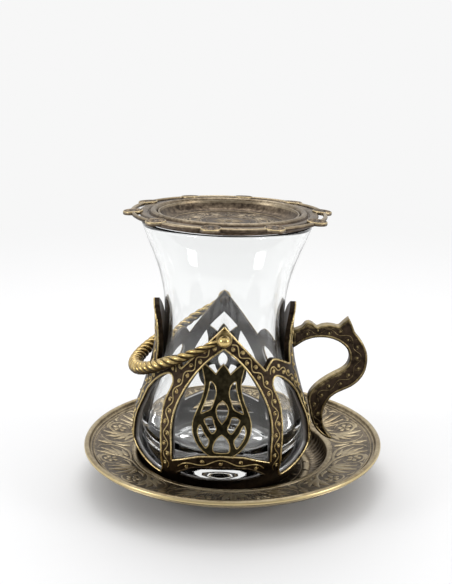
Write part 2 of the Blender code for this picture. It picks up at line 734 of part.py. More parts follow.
def disc_solids(index):
    """A disc of the garland, its stem, and the bar to the next disc."""
    angle = math.radians(FIRST_DISC_ANGLE) + 2 * math.pi * index / DISC_COUNT
    out = Vector((math.sin(angle), -math.cos(angle), 0.0))
    across = Vector((-out.y, out.x, 0.0))
    disc = cylinder(out * DISC_RING_RADIUS, (0, 0, 1), DISC_RADIUS, *DISC_HEIGHTS, DISC_SIDES)
    corners = []
    for height in STEM_HEIGHTS:
        for reach, side in ((STEM_INNER_RADIUS, -1), (DISC_RING_RADIUS, -1), (DISC_RING_RADIUS, 1), (STEM_INNER_RADIUS, 1)):
            corners.append(out * reach + across * (side * STEM_WIDTH / 2) + Vector((0.0, 0.0, height)))
    stem_faces = [(3, 2, 1, 0), (4, 5, 6, 7), (0, 1, 5, 4), (1, 2, 6, 5), (2, 3, 7, 6), (3, 0, 4, 7)]
    shape = [(math.radians(60 * k), 1.0) for k in range(6)]
    bar = tube_through(scallop_path(index), [SCALLOP_RADIUS] * SCALLOP_POINTS, shape)
    return [
        mesh_from("disc", *disc),
        mesh_from("stem", corners, stem_faces),
        mesh_from("bar", *bar),
    ]


def make_lid(seat):
    plate = mesh_from("lid_plate", *turned(LID_SECTION, LID_SIDES))
    solids = [plate]
    for index in range(DISC_COUNT):
        solids.extend(disc_solids(index))
    lid = fused("lid", solids, make_material("lid_bronze", LID_BRONZE, 0.42, 1.0), seat)
    lid.location = (LID_OFFSET * MM, 0.0, 0.0)
    return lid


def main():
    clear_scene()
    seat = make_seat()
    bronze = make_material("holder_bronze", BRONZE, 0.4, 1.0)
    golden = make_material("rope_brass", GOLDEN, 0.32, 1.0)
    make_saucer()
    make_holder(seat, bronze)
    make_rivet("rivet_front", 1, seat, make_material("rivet_brass", GOLDEN, 0.25, 1.0))
    make_rivet("rivet_rear", -1, seat, bpy.data.materials["rivet_brass"])
    make_rope(seat, golden)
    make_handle(seat, make_material("handle_bronze", BRONZE, 0.4, 1.0))
    make_glass(seat)
    make_lid(seat)
    bpy.context.view_layer.update()


main()
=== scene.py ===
"""Fine forms and finishes of a tulip-waisted tea glass in an openwork metal holder.

The glass stands in a cast holder with a handle and a twisted rope bail. It has a lid with a
garland of discs, and the whole stands a little off centre in an engraved saucer.
Sizes are in millimetres and degrees unless a name says otherwise.
"""
import math

import bmesh
import bpy
from bpy.props import FloatProperty, FloatVectorProperty, IntProperty, PointerProperty
from mathutils import Matrix, Vector
from mathutils.geometry import delaunay_2d_cdt
from mathutils.kdtree import KDTree


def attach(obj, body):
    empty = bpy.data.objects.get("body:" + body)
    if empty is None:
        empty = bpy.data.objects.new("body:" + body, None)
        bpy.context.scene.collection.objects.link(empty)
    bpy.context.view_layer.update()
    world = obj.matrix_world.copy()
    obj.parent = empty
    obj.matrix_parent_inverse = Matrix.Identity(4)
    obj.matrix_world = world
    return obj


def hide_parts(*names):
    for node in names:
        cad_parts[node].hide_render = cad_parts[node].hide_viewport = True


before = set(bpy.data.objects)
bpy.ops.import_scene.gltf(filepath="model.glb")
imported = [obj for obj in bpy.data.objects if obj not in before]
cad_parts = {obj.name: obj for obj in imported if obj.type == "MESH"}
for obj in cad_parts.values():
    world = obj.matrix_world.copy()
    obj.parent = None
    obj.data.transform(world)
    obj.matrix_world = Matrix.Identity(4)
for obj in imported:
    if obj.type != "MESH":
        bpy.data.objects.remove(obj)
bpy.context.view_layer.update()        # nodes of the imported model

bl_info = {
    "name": "Tea glass in an openwork holder",
    "version": (1, 0, 0),
    "blender": (4, 5, 0),
    "location": "3D View > Sidebar > Tea Glass",
    "description": "Builds a tulip-waisted tea glass, its metal holder, lid and saucer with their finishes",
    "category": "Object",
}

MM = 0.001
BODY = "holder"
ROPE_BODY = "rope_handle"

# Photograph's view, in metres and degrees
CAMERA_PLACE = (-0.002355, -0.33614, 0.15762)
CAMERA_PITCH = 75.41
CAMERA_LENS = 59.39
CAMERA_SENSOR = 36.0

# Saucer: its section as (radius, height, worn), from the rim in and back along the underside
SAUCER_RADIUS = 55.0
SAUCER_HEIGHT = 14.0
RIM_BEAD = 1.0
RIM_CUT_ANGLE = -30
RIM_CUT = 0.72
RIM_WORN = [(-40, 1.7), (-20, -0.8), (30, 1.7), (140, 1.15), (180, 0.6)]
# The first row, the rim bead's inner foot, is set lighter: painted light against the dark room that it
# reflects
FLANGE = [
    (52.6, 13.35, 0.6), (52.2, 12.95, 0.1), (51.2, 12.8, 0.25), (48.0, 12.1, 0.0), (44.8, 11.4, 0.0),
    (41.0, 10.7, 0.0), (37.4, 10.05, 0.05), (37.0, 10.1, 0.85),
]
WELL_RADIUS = 35.2
WELL_EDGE = [(36.4, 10.2, 0.95), (35.9, 10.1, 1.0), (35.4, 9.8, 0.9), (WELL_RADIUS, 9.3, 0.5)]
WELL_FLOOR_RADIUS = 29.3
WELL_FLOOR_HEIGHT = 3.2
COVE_HEIGHTS = (3.5, 9.4)
COVE_STEPS = 12
COVE_FADES = (1.2, 0.8)
STEPS_A_FLUTE = 6
TICK_RING = [(29.1, 3.7, 0.9), (28.6, 3.85, 1.0), (27.2, 3.8, 1.0), (26.7, 3.55, 0.8)]
TICK_DEPTH = 0.28
WELL_FLOOR = [(26.4, 3.2, 0.2), (12.0, 3.2, 0.1), (0.0, 3.2, 0.1)]
SAUCER_UNDERSIDE = [
    (0.0, 1.5, 0.1), (21.6, 1.5, 0.1), (22.2, 1.2, 0.1), (22.4, 0.0, 0.6), (25.4, 0.0, 0.6), (25.8, 0.5, 0.5),
    (26.8, 1.7, 0.2), (30.6, 2.0, 0.3), (32.8, 2.8, 0.3), (34.4, 4.0, 0.3), (35.8, 6.2, 0.3),
    (36.6, 8.0, 0.3),
    (44.8, 9.9, 0.3), (52.6, 11.6, 0.4),
]

# Saucer's ornament: lines as (radius, height, width, worn), and the rings that leaves and scallops lie on
SAUCER_LINES = [
    (51.55, 12.86, 0.26, 0.9), (52.6, 13.25, 0.3, 1.0), (37.3, 10.0, 0.22, 0.9), (26.0, 3.2, 0.16, 0.6),
    (22.5, 3.2, 0.14, 0.5),
]
FLANGE_LEAF_RADIUS = 44.3
HATCH_BAND = (37.4, 50.6)
HATCH_FADE = 0.3
WELL_SCALLOP_RADIUS = 24.2
WELL_SCALLOPS = 16

# Where the holder stands in the saucer, and how far it leans
GAP = 0.3
SEAT_OFFSET = -4.5
SEAT_LEAN = 1.6
HOLDER_FOOT_RADIUS = 27.0

# Holder: outer radius at each height above its foot
HOLDER_PROFILE = [
    (0.0, 27.0), (3.0, 29.4), (6.3, 31.0), (9.0, 32.0), (13.5, 33.1), (19.0, 32.7), (23.0, 31.9),
    (28.0, 30.1), (35.0, 28.0), (42.0, 26.2), (50.0, 25.2), (63.0, 25.5),
]
HOLDER_WALL = 1.9
HOLDER_FLOOR = (0.5, 1.9)
# Heights over which the pale inside fades out; its pale colour is painted light for the light that comes in
# through the glass
HOLDER_BARE_AND_LIT_HEIGHTS = (34.0, 50.0)
PANEL_REFERENCE_RADIUS = 29.0

# Holder panel from the front gable at 0 degrees to the side gable at 90, as (angle, height)
GABLE_TIP = (0.0, 60.4)
VALLEY = (34.6, 43.9)
LEDGE = [(34.6, 43.9), (37.6, 45.6), (41.5, 47.1), (46.0, 47.1), (52.0, 46.1), (59.0, 44.6), (65.4, 43.4)]
SIDE_GABLE = [(65.4, 43.4), (67.2, 49.0), (69.4, 54.0), (73.5, 58.2), (80.5, 61.2), (90.0, 63.2)]
ARCH_SIDE = [
    (0.0, 52.2), (10.8, 48.2), (19.3, 43.9), (26.2, 39.1), (31.2, 33.8), (33.6, 28.8),
    (32.9, 23.7), (31.4, 18.5), (30.7, 13.0),
]
BAND_TOP = [(30.7, 13.0), (24.3, 14.2), (18.0, 15.4), (12.0, 16.3), (0.0, 16.8)]
BAND_FOOT = [(0.0, 12.2), (12.0, 11.7), (18.0, 10.9), (22.0, 9.8), (28.6, 7.6)]
BASE_RING_TOP = [(28.6, 7.6), (21.0, 6.9), (10.0, 6.6), (0.0, 6.5)]
WINDOW_TOP = [
    (40.4, 38.6), (41.8, 40.2), (44.6, 40.8), (49.5, 40.1), (55.0, 38.6), (62.0, 35.8), (68.6, 32.2),
]
WINDOW_SPINE = [(68.6, 32.2), (71.6, 28.0), (73.6, 22.5), (74.6, 17.0), (73.6, 12.6)]
WINDOW_FOOT = [(73.6, 12.6), (68.0, 10.0), (60.0, 8.2), (51.0, 6.6), (43.0, 5.8)]
WINDOW_PILASTER = [
    (43.0, 5.8), (40.2, 9.0), (39.6, 13.0), (40.2, 17.0), (41.6, 22.0), (43.5, 26.6),
    (44.5, 30.4), (43.8, 33.2), (41.6, 36.2), (40.4, 38.6),
]

# Middle lines of the scrolls that run along the holder's bars, as (angle, height)
PILASTER_VINE = [
    (35.3, 9.0), (35.3, 13.0), (36.0, 18.5), (37.6, 23.7), (39.0, 28.8), (37.6, 33.8), (33.6, 39.1),
    (27.0, 43.6),
]
GABLE_VINE = [(27.0, 43.6), (18.6, 48.3), (9.0, 52.6), (6.0, 54.0)]
LEDGE_VINE = [(38.6, 42.2), (43.0, 44.0), (50.0, 43.2), (57.0, 41.2), (65.0, 38.4), (71.0, 34.0)]
SPINE_VINE = [
    (80.5, 8.0), (81.6, 14.0), (81.4, 20.0), (79.6, 26.0), (76.6, 32.0), (74.0, 38.0), (73.4, 44.0),
    (75.0, 50.0), (79.0, 55.0),
]
BAND_VINE = [(-27.0, 10.9), (-18.0, 12.8), (-9.0, 13.9), (0.0, 14.4), (9.0, 13.9), (18.0, 12.8), (27.0, 10.9)]

# Tulip in each front arch, as (distance from its middle, height), left half mirrored
TULIP_WALL = 1.5
TULIP_INSET = 0.2
TULIP_POINTS = [(0.0, 46.9), (1.3, 45.4), (2.5, 43.4)]
TULIP_SHOULDER = [(2.5, 43.4), (4.2, 45.0), (6.4, 46.7)]
TULIP_SIDE = [
    (6.4, 46.7), (7.3, 46.2), (6.9, 44.2), (6.3, 41.6), (6.2, 39.0), (7.0, 35.2), (8.5, 31.4), (9.8, 27.8),
    (10.0, 24.6), (8.9, 21.2), (6.7, 18.4), (4.2, 16.6), (2.0, 16.0), (0.0, 15.9),
]
TULIP_SLOT = [
    (4.3, 41.0), (4.8, 38.2), (5.6, 35.2), (6.8, 31.9), (7.2, 30.2), (5.6, 30.9), (3.9, 31.9),
    (3.0, 34.0), (2.2, 37.2), (2.8, 39.8),
]
TULIP_ALMOND = [(0.0, 34.8), (1.0, 34.0), (1.8, 32.7), (2.1, 31.2), (1.5, 29.0), (0.0, 27.1)]
TULIP_CHEVRON = [(6.1, 28.3), (5.0, 26.0), (3.3, 24.0), (1.9, 25.4), (2.7, 27.4), (3.6, 29.4)]
TULIP_SIDE_HOLE = [(7.4, 26.5), (8.3, 24.6), (7.9, 22.6), (6.8, 20.6), (5.2, 19.1), (4.2, 21.6), (5.9, 24.0)]
TULIP_ARCH_HOLE = [(0.0, 23.8), (1.6, 22.6), (2.7, 20.6), (2.9, 18.8), (2.4, 17.7), (0.0, 17.5)]

# Rivets and rope bail
RIVET_HEIGHT = 56.6
RIVET_SHANK_RADIUS = 1.1
RIVET_BALL_RADIUS = 2.1
RIVET_BALL_REACH = 1.9
RIVET_BALL_ANGLES = (-26.0, 90.0)
RIVET_BALL_STEPS = 12
RIVET_HEAD = [
    (0.0, -0.6, 0.1), (1.2, -0.55, 0.1), (1.7, -0.3, 0.2), (1.8, 0.0, 0.2), (RIVET_SHANK_RADIUS, 0.0, 0.1),
]
# The collar's value falls to 0 where it meets the ball: painted shade of the ball round its foot
RIVET_COLLAR = [
    (RIVET_SHANK_RADIUS, 0.0, 0.1), (2.4, 0.0, 0.4), (2.65, 0.2, 0.7), (2.55, 0.5, 0.6), (2.1, 0.62, 0.4),
    (1.75, 0.8, 0.0),
]
EYE_INNER_RADIUS = 1.5
EYE_OUTER_RADIUS = 2.7
EYE_THICKNESS = 2.3
ROPE_REACH = 37.0
ROPE_DROOP = 29.4
ROPE_THICK_RADIUS = 2.6
ROPE_THIN_RADIUS = 1.15
ROPE_STEP = 0.5
ROPE_ENDS_CUT = 2
STRAND_OFFSET = 0.47
STRAND_WIDTH = 0.53
CORE_WIDTH = 0.35

# Handle: outline in the plane of the holder's axis, as (distance from the axis, height)
HANDLE_THICKNESS = 4.2
HANDLE_BORDER_RADIUS = 0.5
HANDLE_FACE = HANDLE_THICKNESS / 2 - 0.35
HANDLE_TOP = [
    (25.0, 52.5), (28.2, 53.9), (29.2, 55.2), (30.6, 55.8), (32.2, 55.2), (33.8, 54.0), (35.3, 54.6),
    (37.6, 55.0), (39.9, 54.8), (41.6, 54.5), (43.0, 55.9), (45.0, 57.7),
]
HANDLE_BACK = [
    (45.0, 57.7), (46.3, 55.4), (47.8, 52.0), (49.7, 49.7), (51.5, 46.9), (52.5, 44.0), (52.6, 40.6),
    (51.9, 37.2), (50.2, 34.3), (47.9, 32.1), (45.1, 30.5), (42.3, 29.1), (40.0, 27.2), (38.5, 24.8),
    (37.6, 22.2), (37.4, 19.4), (37.8, 16.6), (39.1, 13.7), (41.5, 10.9),
]
HANDLE_FRONT = [
    (41.5, 10.9), (39.6, 11.2), (37.0, 12.8), (34.6, 15.6), (33.2, 18.8), (32.4, 22.4), (31.7, 25.6),
    (31.9, 28.0), (33.2, 30.3), (35.3, 32.5), (38.1, 34.7), (41.0, 36.5), (43.7, 38.1), (45.4, 39.9),
    (46.1, 42.1), (45.9, 44.1), (44.8, 46.4), (42.6, 48.4), (40.1, 49.6), (37.6, 50.2), (34.9, 50.3),
    (32.1, 49.9), (29.3, 48.8), (27.1, 47.3), (25.35, 46.0),
]
HANDLE_VINE = [
    (28.0, 50.8), (31.0, 52.4), (34.6, 52.3), (38.5, 52.5), (42.6, 51.9), (46.2, 49.3), (48.7, 45.6),
    (49.4, 41.6), (48.2, 37.6), (44.7, 34.3), (40.7, 31.9), (37.0, 29.4), (35.0, 26.4), (34.8, 22.6),
    (35.2, 18.6), (36.8, 14.8),
]

# Glass: outer radius at each height above the holder's foot, and its wall
GLASS_OUTSIDE = [
    (21.5, 2.2), (24.6, 2.7), (27.2, 4.4), (28.8, 7.2), (29.6, 10.8), (29.8, 15.2), (29.4, 19.6),
    (28.2, 25.0), (26.4, 31.0), (24.7, 37.0), (23.2, 43.5), (22.2, 50.0), (21.7, 56.5), (21.8, 62.5),
    (22.6, 69.0),
    (24.2, 75.5), (26.4, 81.6), (28.8, 87.6), (30.4, 92.1),
]
GLASS_INSIDE_HEIGHT = 7.6
GLASS_WALL_FOOT = 2.2
GLASS_WALL_RIM = 1.3
GLASS_RIM_HEIGHT = 92.4
GLASS_RIM_ROUNDING = ((0.35, 0.08), (0.0, 0.0), (-0.35, 0.08))
GLASS_BOWL_TOP = 19.0
GLASS_BOWL = [(26.6, 16.2), (24.6, 12.6), (21.4, 10.0), (17.0, 8.4), (10.0, 7.7), (0.0, GLASS_INSIDE_HEIGHT)]
GLASS_FOOT = [(0.0, 4.9), (7.0, 4.8), (13.0, 4.1), (17.6, 2.6), (19.2, 2.2), (20.5, 2.2)]

# Lid: its top from the middle out, then its skirt and underside
LID_OFFSET = 0.5
LID_FLOOR_HEIGHT = 91.9
LID_FLOOR = [(0.0, LID_FLOOR_HEIGHT), (20.4, LID_FLOOR_HEIGHT)]
LID_COVE = [(20.4, LID_FLOOR_HEIGHT), (22.3, 92.3), (23.6, 93.4), (24.3, 94.7)]
LID_INNER_BEAD = [(24.3, 94.7), (24.45, 95.2), (24.85, 95.25), (25.1, 94.9)]
LID_GROOVE = [(25.1, 94.9), (25.3, 94.75), (25.5, 95.0)]
LID_BEAD = [(25.5, 95.0), (25.7, 95.6), (26.5, 96.05), (27.3, 95.8), (27.7, 95.2)]
LID_OUTER_GROOVE = [(27.7, 95.2), (28.0, 94.6), (28.4, 94.65)]
LID_PLATE = [(28.4, 94.65), (28.8, 95.1), (30.0, 95.25), (31.2, 95.2), (31.6, 94.8)]
LID_SKIRT = [(31.6, 94.8), (31.3, 94.0), (30.6, 93.4), (30.4, 92.7)]
LID_UNDER = [(30.4, 92.7), (28.6, 92.7), (28.2, 93.4), (25.6, 93.2), (24.0, 91.7), (22.0, 90.9), (0.0, 90.9)]
DISC_COUNT = 10
FIRST_DISC_ANGLE = -10.0
DISC_RING_RADIUS = 33.7
DISC_RADIUS = 3.5
DISC_HEIGHTS = (94.4, 95.7)
DISC_DROOP = 4.0
DISC_RIB_HEIGHT = 0.13
STEM_HEIGHTS = (94.4, 95.2)
STEM_RADII = (30.6, 30.8)
STEM_WIDTH = 1.9
GARLAND_HEIGHT = 94.9
GARLAND_RADIUS = 0.76
GARLAND_BULGE = 0.3
GARLAND_START = 0.145
GARLAND_STEPS = 24
LID_LEAF_RADIUS = 13.6
ROSETTE_PETALS = 8
ROSETTE_RADII = (1.4, 3.8, 6.6)
LID_LINES = [(7.9, 91.9, 0.2, 0.7), (19.7, 91.95, 0.24, 0.8), (1.1, 91.9, 0.3, 0.8, 24)]

# Patches of the plate's tone, its grain and its pits, and how deep they look
TONE_PATCH = 7.0
GRAIN_PATCH = 0.7
PIT_PATCH = 0.22
PLATE_DEPTH = 0.035
GLASS_PATCH = 26.0
GLASS_DEPTH = 0.05
FLOOR_PATCH = 30.0

# Lamps: name, place and width in metres
LAMPS = (
    ("light_top", (0.0, 0.3, 0.7), 0.45), ("light_left", (-0.75, -0.3, 0.35), 0.3),
    ("light_right", (0.75, -0.3, 0.3), 0.25),
)
LAMP_TARGET = (0.0, 0.0, 0.05)
FLOOR_REACH = 4.0


# Sizes and colours that a user would change

def colour(name, description, default):
    return FloatVectorProperty(
        name=name, description=description, default=default, subtype="COLOR", size=3, min=0.0, max=1.0)


def length(name, description, default):
    return FloatProperty(name=name, description=description, default=default * MM, unit="LENGTH", precision=5)


def whole(name, description, default, low):
    return IntProperty(name=name, description=description, default=default, min=low)


def amount(name, description, default, unit="NONE"):
    return FloatProperty(name=name, description=description, default=default, min=0.0, unit=unit)


class TeaSaucerSizes(bpy.types.PropertyGroup):
    flutes: whole("Flutes", "Ribs round the saucer's cove", 96, 12)
    ticks: whole("Ticks", "Cuts in the ring round the well's floor", 24, 4)
    hatch: whole("Hatch", "Fine lines round the ground of the flange", 300, 0)
    flute_depth: length("Flute depth", "Depth of the grooves between the ribs", 0.34)
    sectors: whole("Sectors", "Repeats of the leaves round the flange", 6, 2)
    relief_height: amount("Relief", "Thickness of the leaves to half their width", 0.22)
    ground: colour("Ground", "Dull plate between the leaves", (0.155, 0.125, 0.090))
    relief: colour("Relief", "Rubbed plate on the leaves", (0.40, 0.335, 0.22))
    rim: colour("Rim", "Bright plate on the rim", (0.60, 0.48, 0.25))


class TeaHolderSizes(bpy.types.PropertyGroup):
    border: length("Border", "Radius of the raised line along each bar's edges", 0.36)
    vine: length("Vine", "Radius of the scrolling line on each bar", 0.20)
    vine_period: length("Vine period", "Length of one full wave of the line", 7.4)
    ball: length("Ball", "Radius of the balls beside the line", 0.52)
    ground: colour("Ground", "Dark plate in the recesses", (0.035, 0.024, 0.016))
    relief: colour("Relief", "Rubbed plate on the raised lines", (0.64, 0.51, 0.25))
    bright: colour("Bright", "Bare metal on the edges that are rubbed most", (0.74, 0.64, 0.42))
    # Plain metal inside, painted lighter for the light that comes in through the glass
    cast: colour("Cast metal", "Plain metal on the inside of the wall", (0.62, 0.605, 0.60))


class TeaRopeSizes(bpy.types.PropertyGroup):
    strands: whole("Strands", "Strands in the twisted rope", 3, 2)
    pitch: length("Pitch", "Length of one turn at the middle of the rope", 7.4)
    end_pitch: length("End pitch", "Length of one turn at the rope's ends", 14.0)
    groove: colour("Groove", "Dark plate between the strands", (0.05, 0.032, 0.014))
    brass: colour("Brass", "Worn golden plate on the strands and rivets", (0.66, 0.50, 0.21))


class TeaLidSizes(bpy.types.PropertyGroup):
    sectors: whole("Sectors", "Repeats of the leaves on the lid's floor", 3, 2)
    ridges: whole("Ridges", "Radial ridges on each disc", 18, 6)
    ground: colour("Ground", "Dull plate in the engraving", (0.085, 0.062, 0.044))
    relief: colour("Relief", "Rubbed plate on edges and leaves", (0.32, 0.265, 0.185))
    bright: colour("Bright", "Bare metal on the garland and the discs' rims", (0.60, 0.47, 0.25))


class TeaGlassSizes(bpy.types.PropertyGroup):
    tint: colour("Tint", "Colour of the clear glass", (0.970, 0.977, 0.974))
    ior: amount("Index", "Index of refraction", 1.5)


class TeaStageSizes(bpy.types.PropertyGroup):
    floor: colour("Floor", "Pale floor", (0.82, 0.82, 0.825))
    backdrop: amount("Backdrop", "Brightness behind the glass", 0.93)
    over: amount("Overhead", "Brightness of the soft light above", 1.05)
    room: amount("Room", "Brightness of the room in front", 0.25)
    top: amount("Top lamp", "Power of the lamp above", 1.6, "POWER")
    side: amount("Side lamps", "Power of each side lamp", 2.0, "POWER")
    fade_start: length("Fade start", "Distance at which the floor begins to fade to the backdrop", 160.0)
    fade_end: length("Fade end", "Distance at which the floor is as bright as the backdrop", 520.0)


# Points, runs and flat outlines

def ramp(value, low, high):
    """0 below low and 1 above high, with an even slope."""
    return min(1.0, max(0.0, (value - low) / (high - low)))


def interpolate(table, position):
    """Smooth value at a position, from a table of (position, value), without overshoot."""
    last = len(table) - 1
    if position <= table[0][0]:
        return table[0][1]
    if position >= table[last][0]:
        return table[last][1]
    slopes = [(table[i + 1][1] - table[i][1]) / (table[i + 1][0] - table[i][0]) for i in range(last)]

    def tangent(i):
        if i == 0 or i == last:
            return slopes[min(i, last - 1)]
        if slopes[i - 1] * slopes[i] <= 0.0:
            return 0.0
        return 2.0 * slopes[i - 1] * slopes[i] / (slopes[i - 1] + slopes[i])

    i = max(k for k in range(last) if table[k][0] <= position)
    width = table[i + 1][0] - table[i][0]
    t = (position - table[i][0]) / width
    start, end = table[i][1], table[i + 1][1]
    return (
        (2 * t**3 - 3 * t**2 + 1) * start + (t**3 - 2 * t**2 + t) * width * tangent(i)
        + (3 * t**2 - 2 * t**3) * end + (t**3 - t**2) * width * tangent(i + 1)
    )


def smooth_run(points, step, closed=False):
    """Points at about one step along a smooth curve through the given points."""
    points = [Vector(point) for point in points]
    count = len(points)
    spans = count if closed else count - 1
    line = []
    for i in range(spans):
        a, b = points[i], points[(i + 1) % count]
        before = points[(i - 1) % count] if closed or i > 0 else a * 2 - b
        after = points[(i + 2) % count] if closed or i + 2 < count else b * 2 - a
        pieces = max(1, round((b - a).length / step))
        for k in range(pieces):
            t = k / pieces
            line.append(0.5 * (
                2 * a + (b - before) * t + (2 * before - 5 * a + 4 * b - after) * t**2
                + (3 * a - before - 3 * b + after) * t**3
            ))
    if not closed:
        line.append(points[-1])
    return line


def even_run(points, step, closed=False):
    """The same line with its points at even distances."""
    line = [Vector(point) for point in points]
    if closed:
        line.append(line[0])
    total = sum((b - a).length for a, b in zip(line, line[1:]))
    count = max(2, round(total / step))
    result, travelled, goal = [line[0]], 0.0, total / count
    for a, b in zip(line, line[1:]):
        span = (b - a).length
        while span > 0 and travelled + span >= goal - 1e-9 and len(result) < count:
            result.append(a.lerp(b, (goal - travelled) / span))
            goal += total / count
        travelled += span
    if not closed:
        result.append(line[-1])
    return result


def offset_run(points, distance, closed=False):
    """A flat line moved to its left by a distance."""
    count = len(points)
    moved = []
    for i, point in enumerate(points):
        before = points[(i - 1) % count] if closed or i > 0 else point
        after = points[(i + 1) % count] if closed or i + 1 < count else point
        along = (after - before).normalized()
        moved.append(point + Vector((-along.y, along.x)) * distance)
    return moved


def joined(runs):
    """One closed loop from runs that share their end points."""
    loop = []
    for run in runs:
        loop.extend(run[:-1])
    return loop


def inside(loops, point):
    """Even-odd test of a point against all the loops together."""
    x, y = point
    odd = False
    for loop in loops:
        for i, b in enumerate(loop):
            a = loop[i - 1]
            if (a[1] > y) != (b[1] > y) and x < (b[0] - a[0]) * (y - a[1]) / (b[1] - a[1]) + a[0]:
                odd = not odd
    return odd


def distance_to(loops, point):
    nearest = math.inf
    for loop in loops:
        for corner in loop:
            nearest = min(nearest, (corner - point).length)
    return nearest


def triangulate(loops, grid):
    """Flat triangles between an outline and its holes, with grid points inside."""
    xs = [point[0] for point in loops[0]]
    ys = [point[1] for point in loops[0]]
    spare = []
    for i in range(1, int((max(xs) - min(xs)) / grid) + 1):
        for k in range(1, int((max(ys) - min(ys)) / grid) + 1):
            point = Vector((min(xs) + i * grid, min(ys) + k * grid))
            if inside(loops, point) and distance_to(loops, point) > 0.5 * grid:
                spare.append(point)
    points, edges = [], []
    for loop in loops:
        first = len(points)
        points.extend(loop)
        edges.extend((first + i, first + (i + 1) % len(loop)) for i in range(len(loop)))
    result = delaunay_2d_cdt(points + spare, edges, [], 0, 1e-5)
    flat, faces = result[0], result[2]
    kept = []
    for face in faces:
        middle = sum((flat[i] for i in face), Vector((0.0, 0.0))) / len(face)
        if inside(loops, middle):
            kept.append(tuple(face))
    return flat, kept


def thick_sheet(flat, faces, place, front, back, open_edge=None):
    """Points and faces of a sheet between two depths. place(point, depth) gives the position."""
    count = len(flat)
    points = [place(point, front) for point in flat] + [place(point, back) for point in flat]
    solid = [tuple(face) for face in faces]
    solid += [tuple(i + count for i in reversed(face)) for face in faces]
    used = {(face[i - 1], face[i]) for face in faces for i in range(len(face))}
    for a, b in used:
        if (b, a) in used or (open_edge and open_edge(flat[a], flat[b])):
            continue
        solid.append((b, a, a + count, b + count))
    return points, solid


def turned(section, sides, shape=None):
    """Points, faces and worn of a closed section of (radius, height, worn) turned about +Z.

    shape(row, k, point) gives the place and worn of the point at step k round a row of the section.
    """
    points, faces, worn, rings = [], [], [], []
    for row in section:
        radius, height, rubbed_and_lit = row[:3]
        ring = []
        for k in range(1 if radius < 1e-6 else sides):
            angle = 2 * math.pi * k / sides
            point = (radius * math.cos(angle), radius * math.sin(angle), height)
            place, value = shape(row, k, point) if shape else (point, rubbed_and_lit)
            ring.append(len(points))
            points.append(place)
            worn.append(value)
        rings.append(ring * sides if len(ring) == 1 else ring)
    for i, ring in enumerate(rings):
        after = rings[(i + 1) % len(rings)]
        for k in range(sides):
            corners = [ring[k], ring[(k + 1) % sides], after[(k + 1) % sides], after[k]]
            corners = [c for n, c in enumerate(corners) if c != corners[n - 1]]
            if len(set(corners)) > 2:
                faces.append(tuple(corners))
    return points, faces, worn


# Meshes and pieces

def seat_matrix():
    """Turns the holder's own frame into the saucer's: a small lean, off centre on the well's floor."""
    lean = math.radians(SEAT_LEAN)
    height = WELL_FLOOR_HEIGHT + GAP + HOLDER_FOOT_RADIUS * math.sin(lean)
    return Matrix.Translation((SEAT_OFFSET * MM, 0.0, height * MM)) @ Matrix.Rotation(lean, 4, "Y")


SEAT = seat_matrix()
LEVEL = Matrix.Identity(4)


def store(mesh, **values):
    """Keeps a number for each point of a mesh, under each name."""
    for name, numbers in values.items():
        mesh.attributes.new(name, "FLOAT", "POINT").data.foreach_set("value", numbers)
    return mesh


def solid_mesh(name, points, faces, worn, smooth_angle, bare=None):
    """A closed mesh in metres from points in millimetres.

    The wear-and-shade value is 0 in recesses and where shade is painted, and 1 on polished places and where
    light is painted; the pale-inside value is 1 on plain metal inside, painted lighter for the light that
    comes in through the glass.
    """
    mesh = bpy.data.meshes.new(name)
    mesh.from_pydata([Vector(point) * MM for point in points], [], faces)
    store(mesh, worn=worn, bare=bare or [0.0] * len(worn))
    tidy = bmesh.new()
    tidy.from_mesh(mesh)
    bmesh.ops.remove_doubles(tidy, verts=tidy.verts, dist=0.004 * MM)
    bmesh.ops.dissolve_degenerate(tidy, edges=tidy.edges, dist=0.002 * MM)
    bmesh.ops.recalc_face_normals(tidy, faces=tidy.faces)
    tidy.to_mesh(mesh)
    tidy.free()
    mesh.shade_smooth()
    mesh.set_sharp_from_angle(angle=math.radians(smooth_angle))
    return mesh


def stroke_mesh(name, strokes):
    """Lines in metres from strokes of (points, radii, worn), closed where the last point is the first."""
    points, edges, radii, worn = [], [], [], []
    for line, widths, rubbed_and_lit in strokes:
        first = len(points)
        closed = (line[0] - line[-1]).length < 1e-6
        count = len(line) - 1 if closed else len(line)
        for i in range(count):
            points.append(line[i] * MM)
            radii.append(widths[i] * MM)
            worn.append(rubbed_and_lit)
        edges.extend((first + i, first + i + 1) for i in range(count - 1))
        if closed:
            edges.append((first + count - 1, first))
    mesh = bpy.data.meshes.new(name)
    mesh.from_pydata(points, edges, [])
    return store(mesh, radius=radii, worn=worn)


def dot_mesh(name, dots):
    """Single points in metres from dots of (point, radius, worn)."""
    mesh = bpy.data.meshes.new(name)
    mesh.from_pydata([dot[0] * MM for dot in dots], [], [])
    return store(mesh, size=[dot[1] * MM for dot in dots], worn=[dot[2] for dot in dots])


class Value:
    """A shader socket that can be used in arithmetic."""

    def __init__(self, maker, socket):
        self.maker = maker
        self.socket = socket

    def math(self, operation, *others):
        node = self.maker.node("ShaderNodeMath", {"operation": operation})
        for i, item in enumerate((self,) + others):
            self.maker.feed(item, node.inputs[i])
        return Value(self.maker, node.outputs[0])

    def __add__(self, other):
        return self.math("ADD", other)

    def __sub__(self, other):
        return self.math("SUBTRACT", other)

    def __mul__(self, other):
        return self.math("MULTIPLY", other)

    def __rsub__(self, other):
        return (self * -1.0) + other

    __radd__ = __add__
    __rmul__ = __mul__

    def clamped(self):
        return self.math("MAXIMUM", 0.0).math("MINIMUM", 1.0)

    def between(self, low, high):
        """0 below low and 1 above high, with an even slope."""
        return ((self - low) * (1.0 / (high - low))).clamped()


